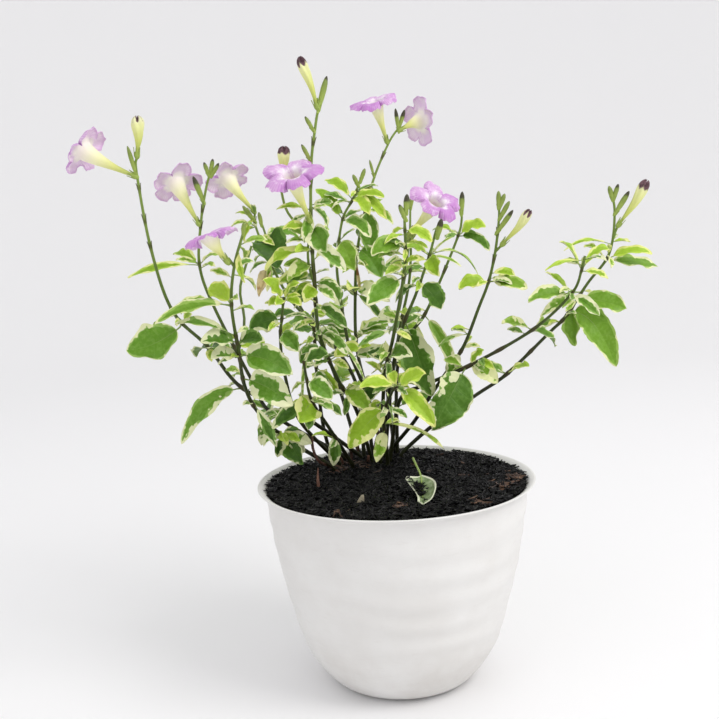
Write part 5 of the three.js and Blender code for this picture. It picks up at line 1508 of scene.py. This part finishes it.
def along_rows(line):
    """A line's points at each of the blade's own points."""
    return np.column_stack([np.interp(row, np.arange(len(line)), column) for column in line.T])


edge = np.where((u < 0)[:, None], along_rows(cast_left), along_rows(cast_right))
reach = np.abs(u)
frill = 0.5 * np.sin(11 * v + 2 * np.sign(u)) * reach ** 3
sunk = np.column_stack([edge[:, 0] * reach ** 0.9, np.zeros(len(u)), edge[:, 1] * reach ** 2 + frill])
spread = np.where(u < 0, -1, 1) * 0.22 * reach ** 2
shape = along_rows(cast_rib) + sunk - np.column_stack([spread * face, np.zeros(len(u)), -0.24 * face])
set_in_place(cast_leaf, shape)
off_edge = (1 - reach) * np.abs(edge[:, 0]) / np.where(u < 0, 10, 6)
note_down(cast_leaf, four(len(u), off_edge, 0, (face < 0) * 1.0, 1))
faded = Finish("faded_leaf", Roughness=0.6)
place = faded.place()
border, _, under, _ = faded.note("growth")
blotch = faded.cloud(place, 260, 3, 0.6)
worn = faded.shades(blotch, [
    (0.3, rgb(92, 112, 66)), (0.5, rgb(132, 150, 106)), (0.7, rgb(166, 176, 142)),
])
rim_line = faded.sum("ADD", border, faded.ramp(blotch, 0, 1, -0.06, 0.06))
worn = faded.blend(faded.ramp(rim_line, 0.1, 0.16, 1.0, 0.0), worn, rgb(224, 226, 200))
faded.colour(faded.blend(under, worn, faded.blend(0.5, worn, rgb(170, 180, 140))))
faded.relief(blotch, 0.4, 0.0006)
cast_leaf.data.materials.append(faded.material)
hook = smooth_path([
    (11.5, -3, 135.5), (13, -17, 133.6), (14.6, -31, 131.2), (14.5, -40, 126.2), (14.2, -50, 122.4),
], 5)
cast_stalk = bend_stalk(short_stalk, "cast_stalk", hook,
                        lambda share, _: np.interp(share, [0, 0.4, 1], [0.8, 0.65, 0.3]),
                        lambda s: four(len(s), 0, 0.8, 0, 0.6))
cast_stalk.data.materials.append(stalk_finish.material)
strays = 90
fallen_x = sow.normal(12.2, 2.4, strays)
fallen_y = sow.uniform(-49, -36, strays)
hollow = np.interp(fallen_y, [-52, -49, -38], [122.3, 122.6, 127.0])
fallen_z = hollow + 0.8 + 0.09 * (fallen_x - 13.6) ** 2 + sow.uniform(0, 0.9, strays)
litter = strewn("husks_on_leaf", np.column_stack([fallen_x, fallen_y, fallen_z]),
                sow.uniform(0, math.tau, strays), sow.normal(0, 0.2, strays), sow.uniform(-0.8, 0.8, strays),
                sow.uniform(2.2, 4.2, strays), sow.uniform(0.9, 1.6, strays))
litter.data.materials.append(burnt.material)
fallen = gather([cast_leaf, cast_stalk], "fallen_leaf_blade")
smooth(fallen, 60)
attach(fallen, "root")
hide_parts("fallen_leaf")
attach(litter, "root")

# A pale chip stands on the husks near the front: a scrap of old leaf, dry and stiff, one thin
# pointed blade.
chip = copy_of(sepal_blank, "pale_chip")
u, v, face = blade_points(chip)
half = 2.2 * np.clip(1.1 - v, 0, 1) ** 0.6
shape = np.column_stack([-23.5 + 1.5 * v, -50 - 1.2 * v + 0.4 * np.abs(u), 121.4 + 5.2 * v + 0.1 * face])
shape[:, 0] += u * half
set_in_place(chip, shape)
chip_finish = Finish("old_leaf_scrap", Roughness=0.7)
fleck = chip_finish.cloud(chip_finish.place(), 400, 3, 0.6)
chip_finish.colour(chip_finish.blend(fleck, rgb(206, 198, 172), rgb(140, 128, 104)))
chip_finish.relief(fleck, 0.4, 0.0005)
chip.data.materials.append(chip_finish.material)
smooth(chip, 60)
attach(chip, "root")

# The straight blanks that leaves, stalks and flowers were copied from are done with.
for blank in (broad_blade, small_blade, long_stalk, short_stalk, bud_stalk, sepal_blank, flower_blank,
              furled_blank):
    bpy.data.objects.remove(blank)
bpy.ops.object.select_all(action="DESELECT")
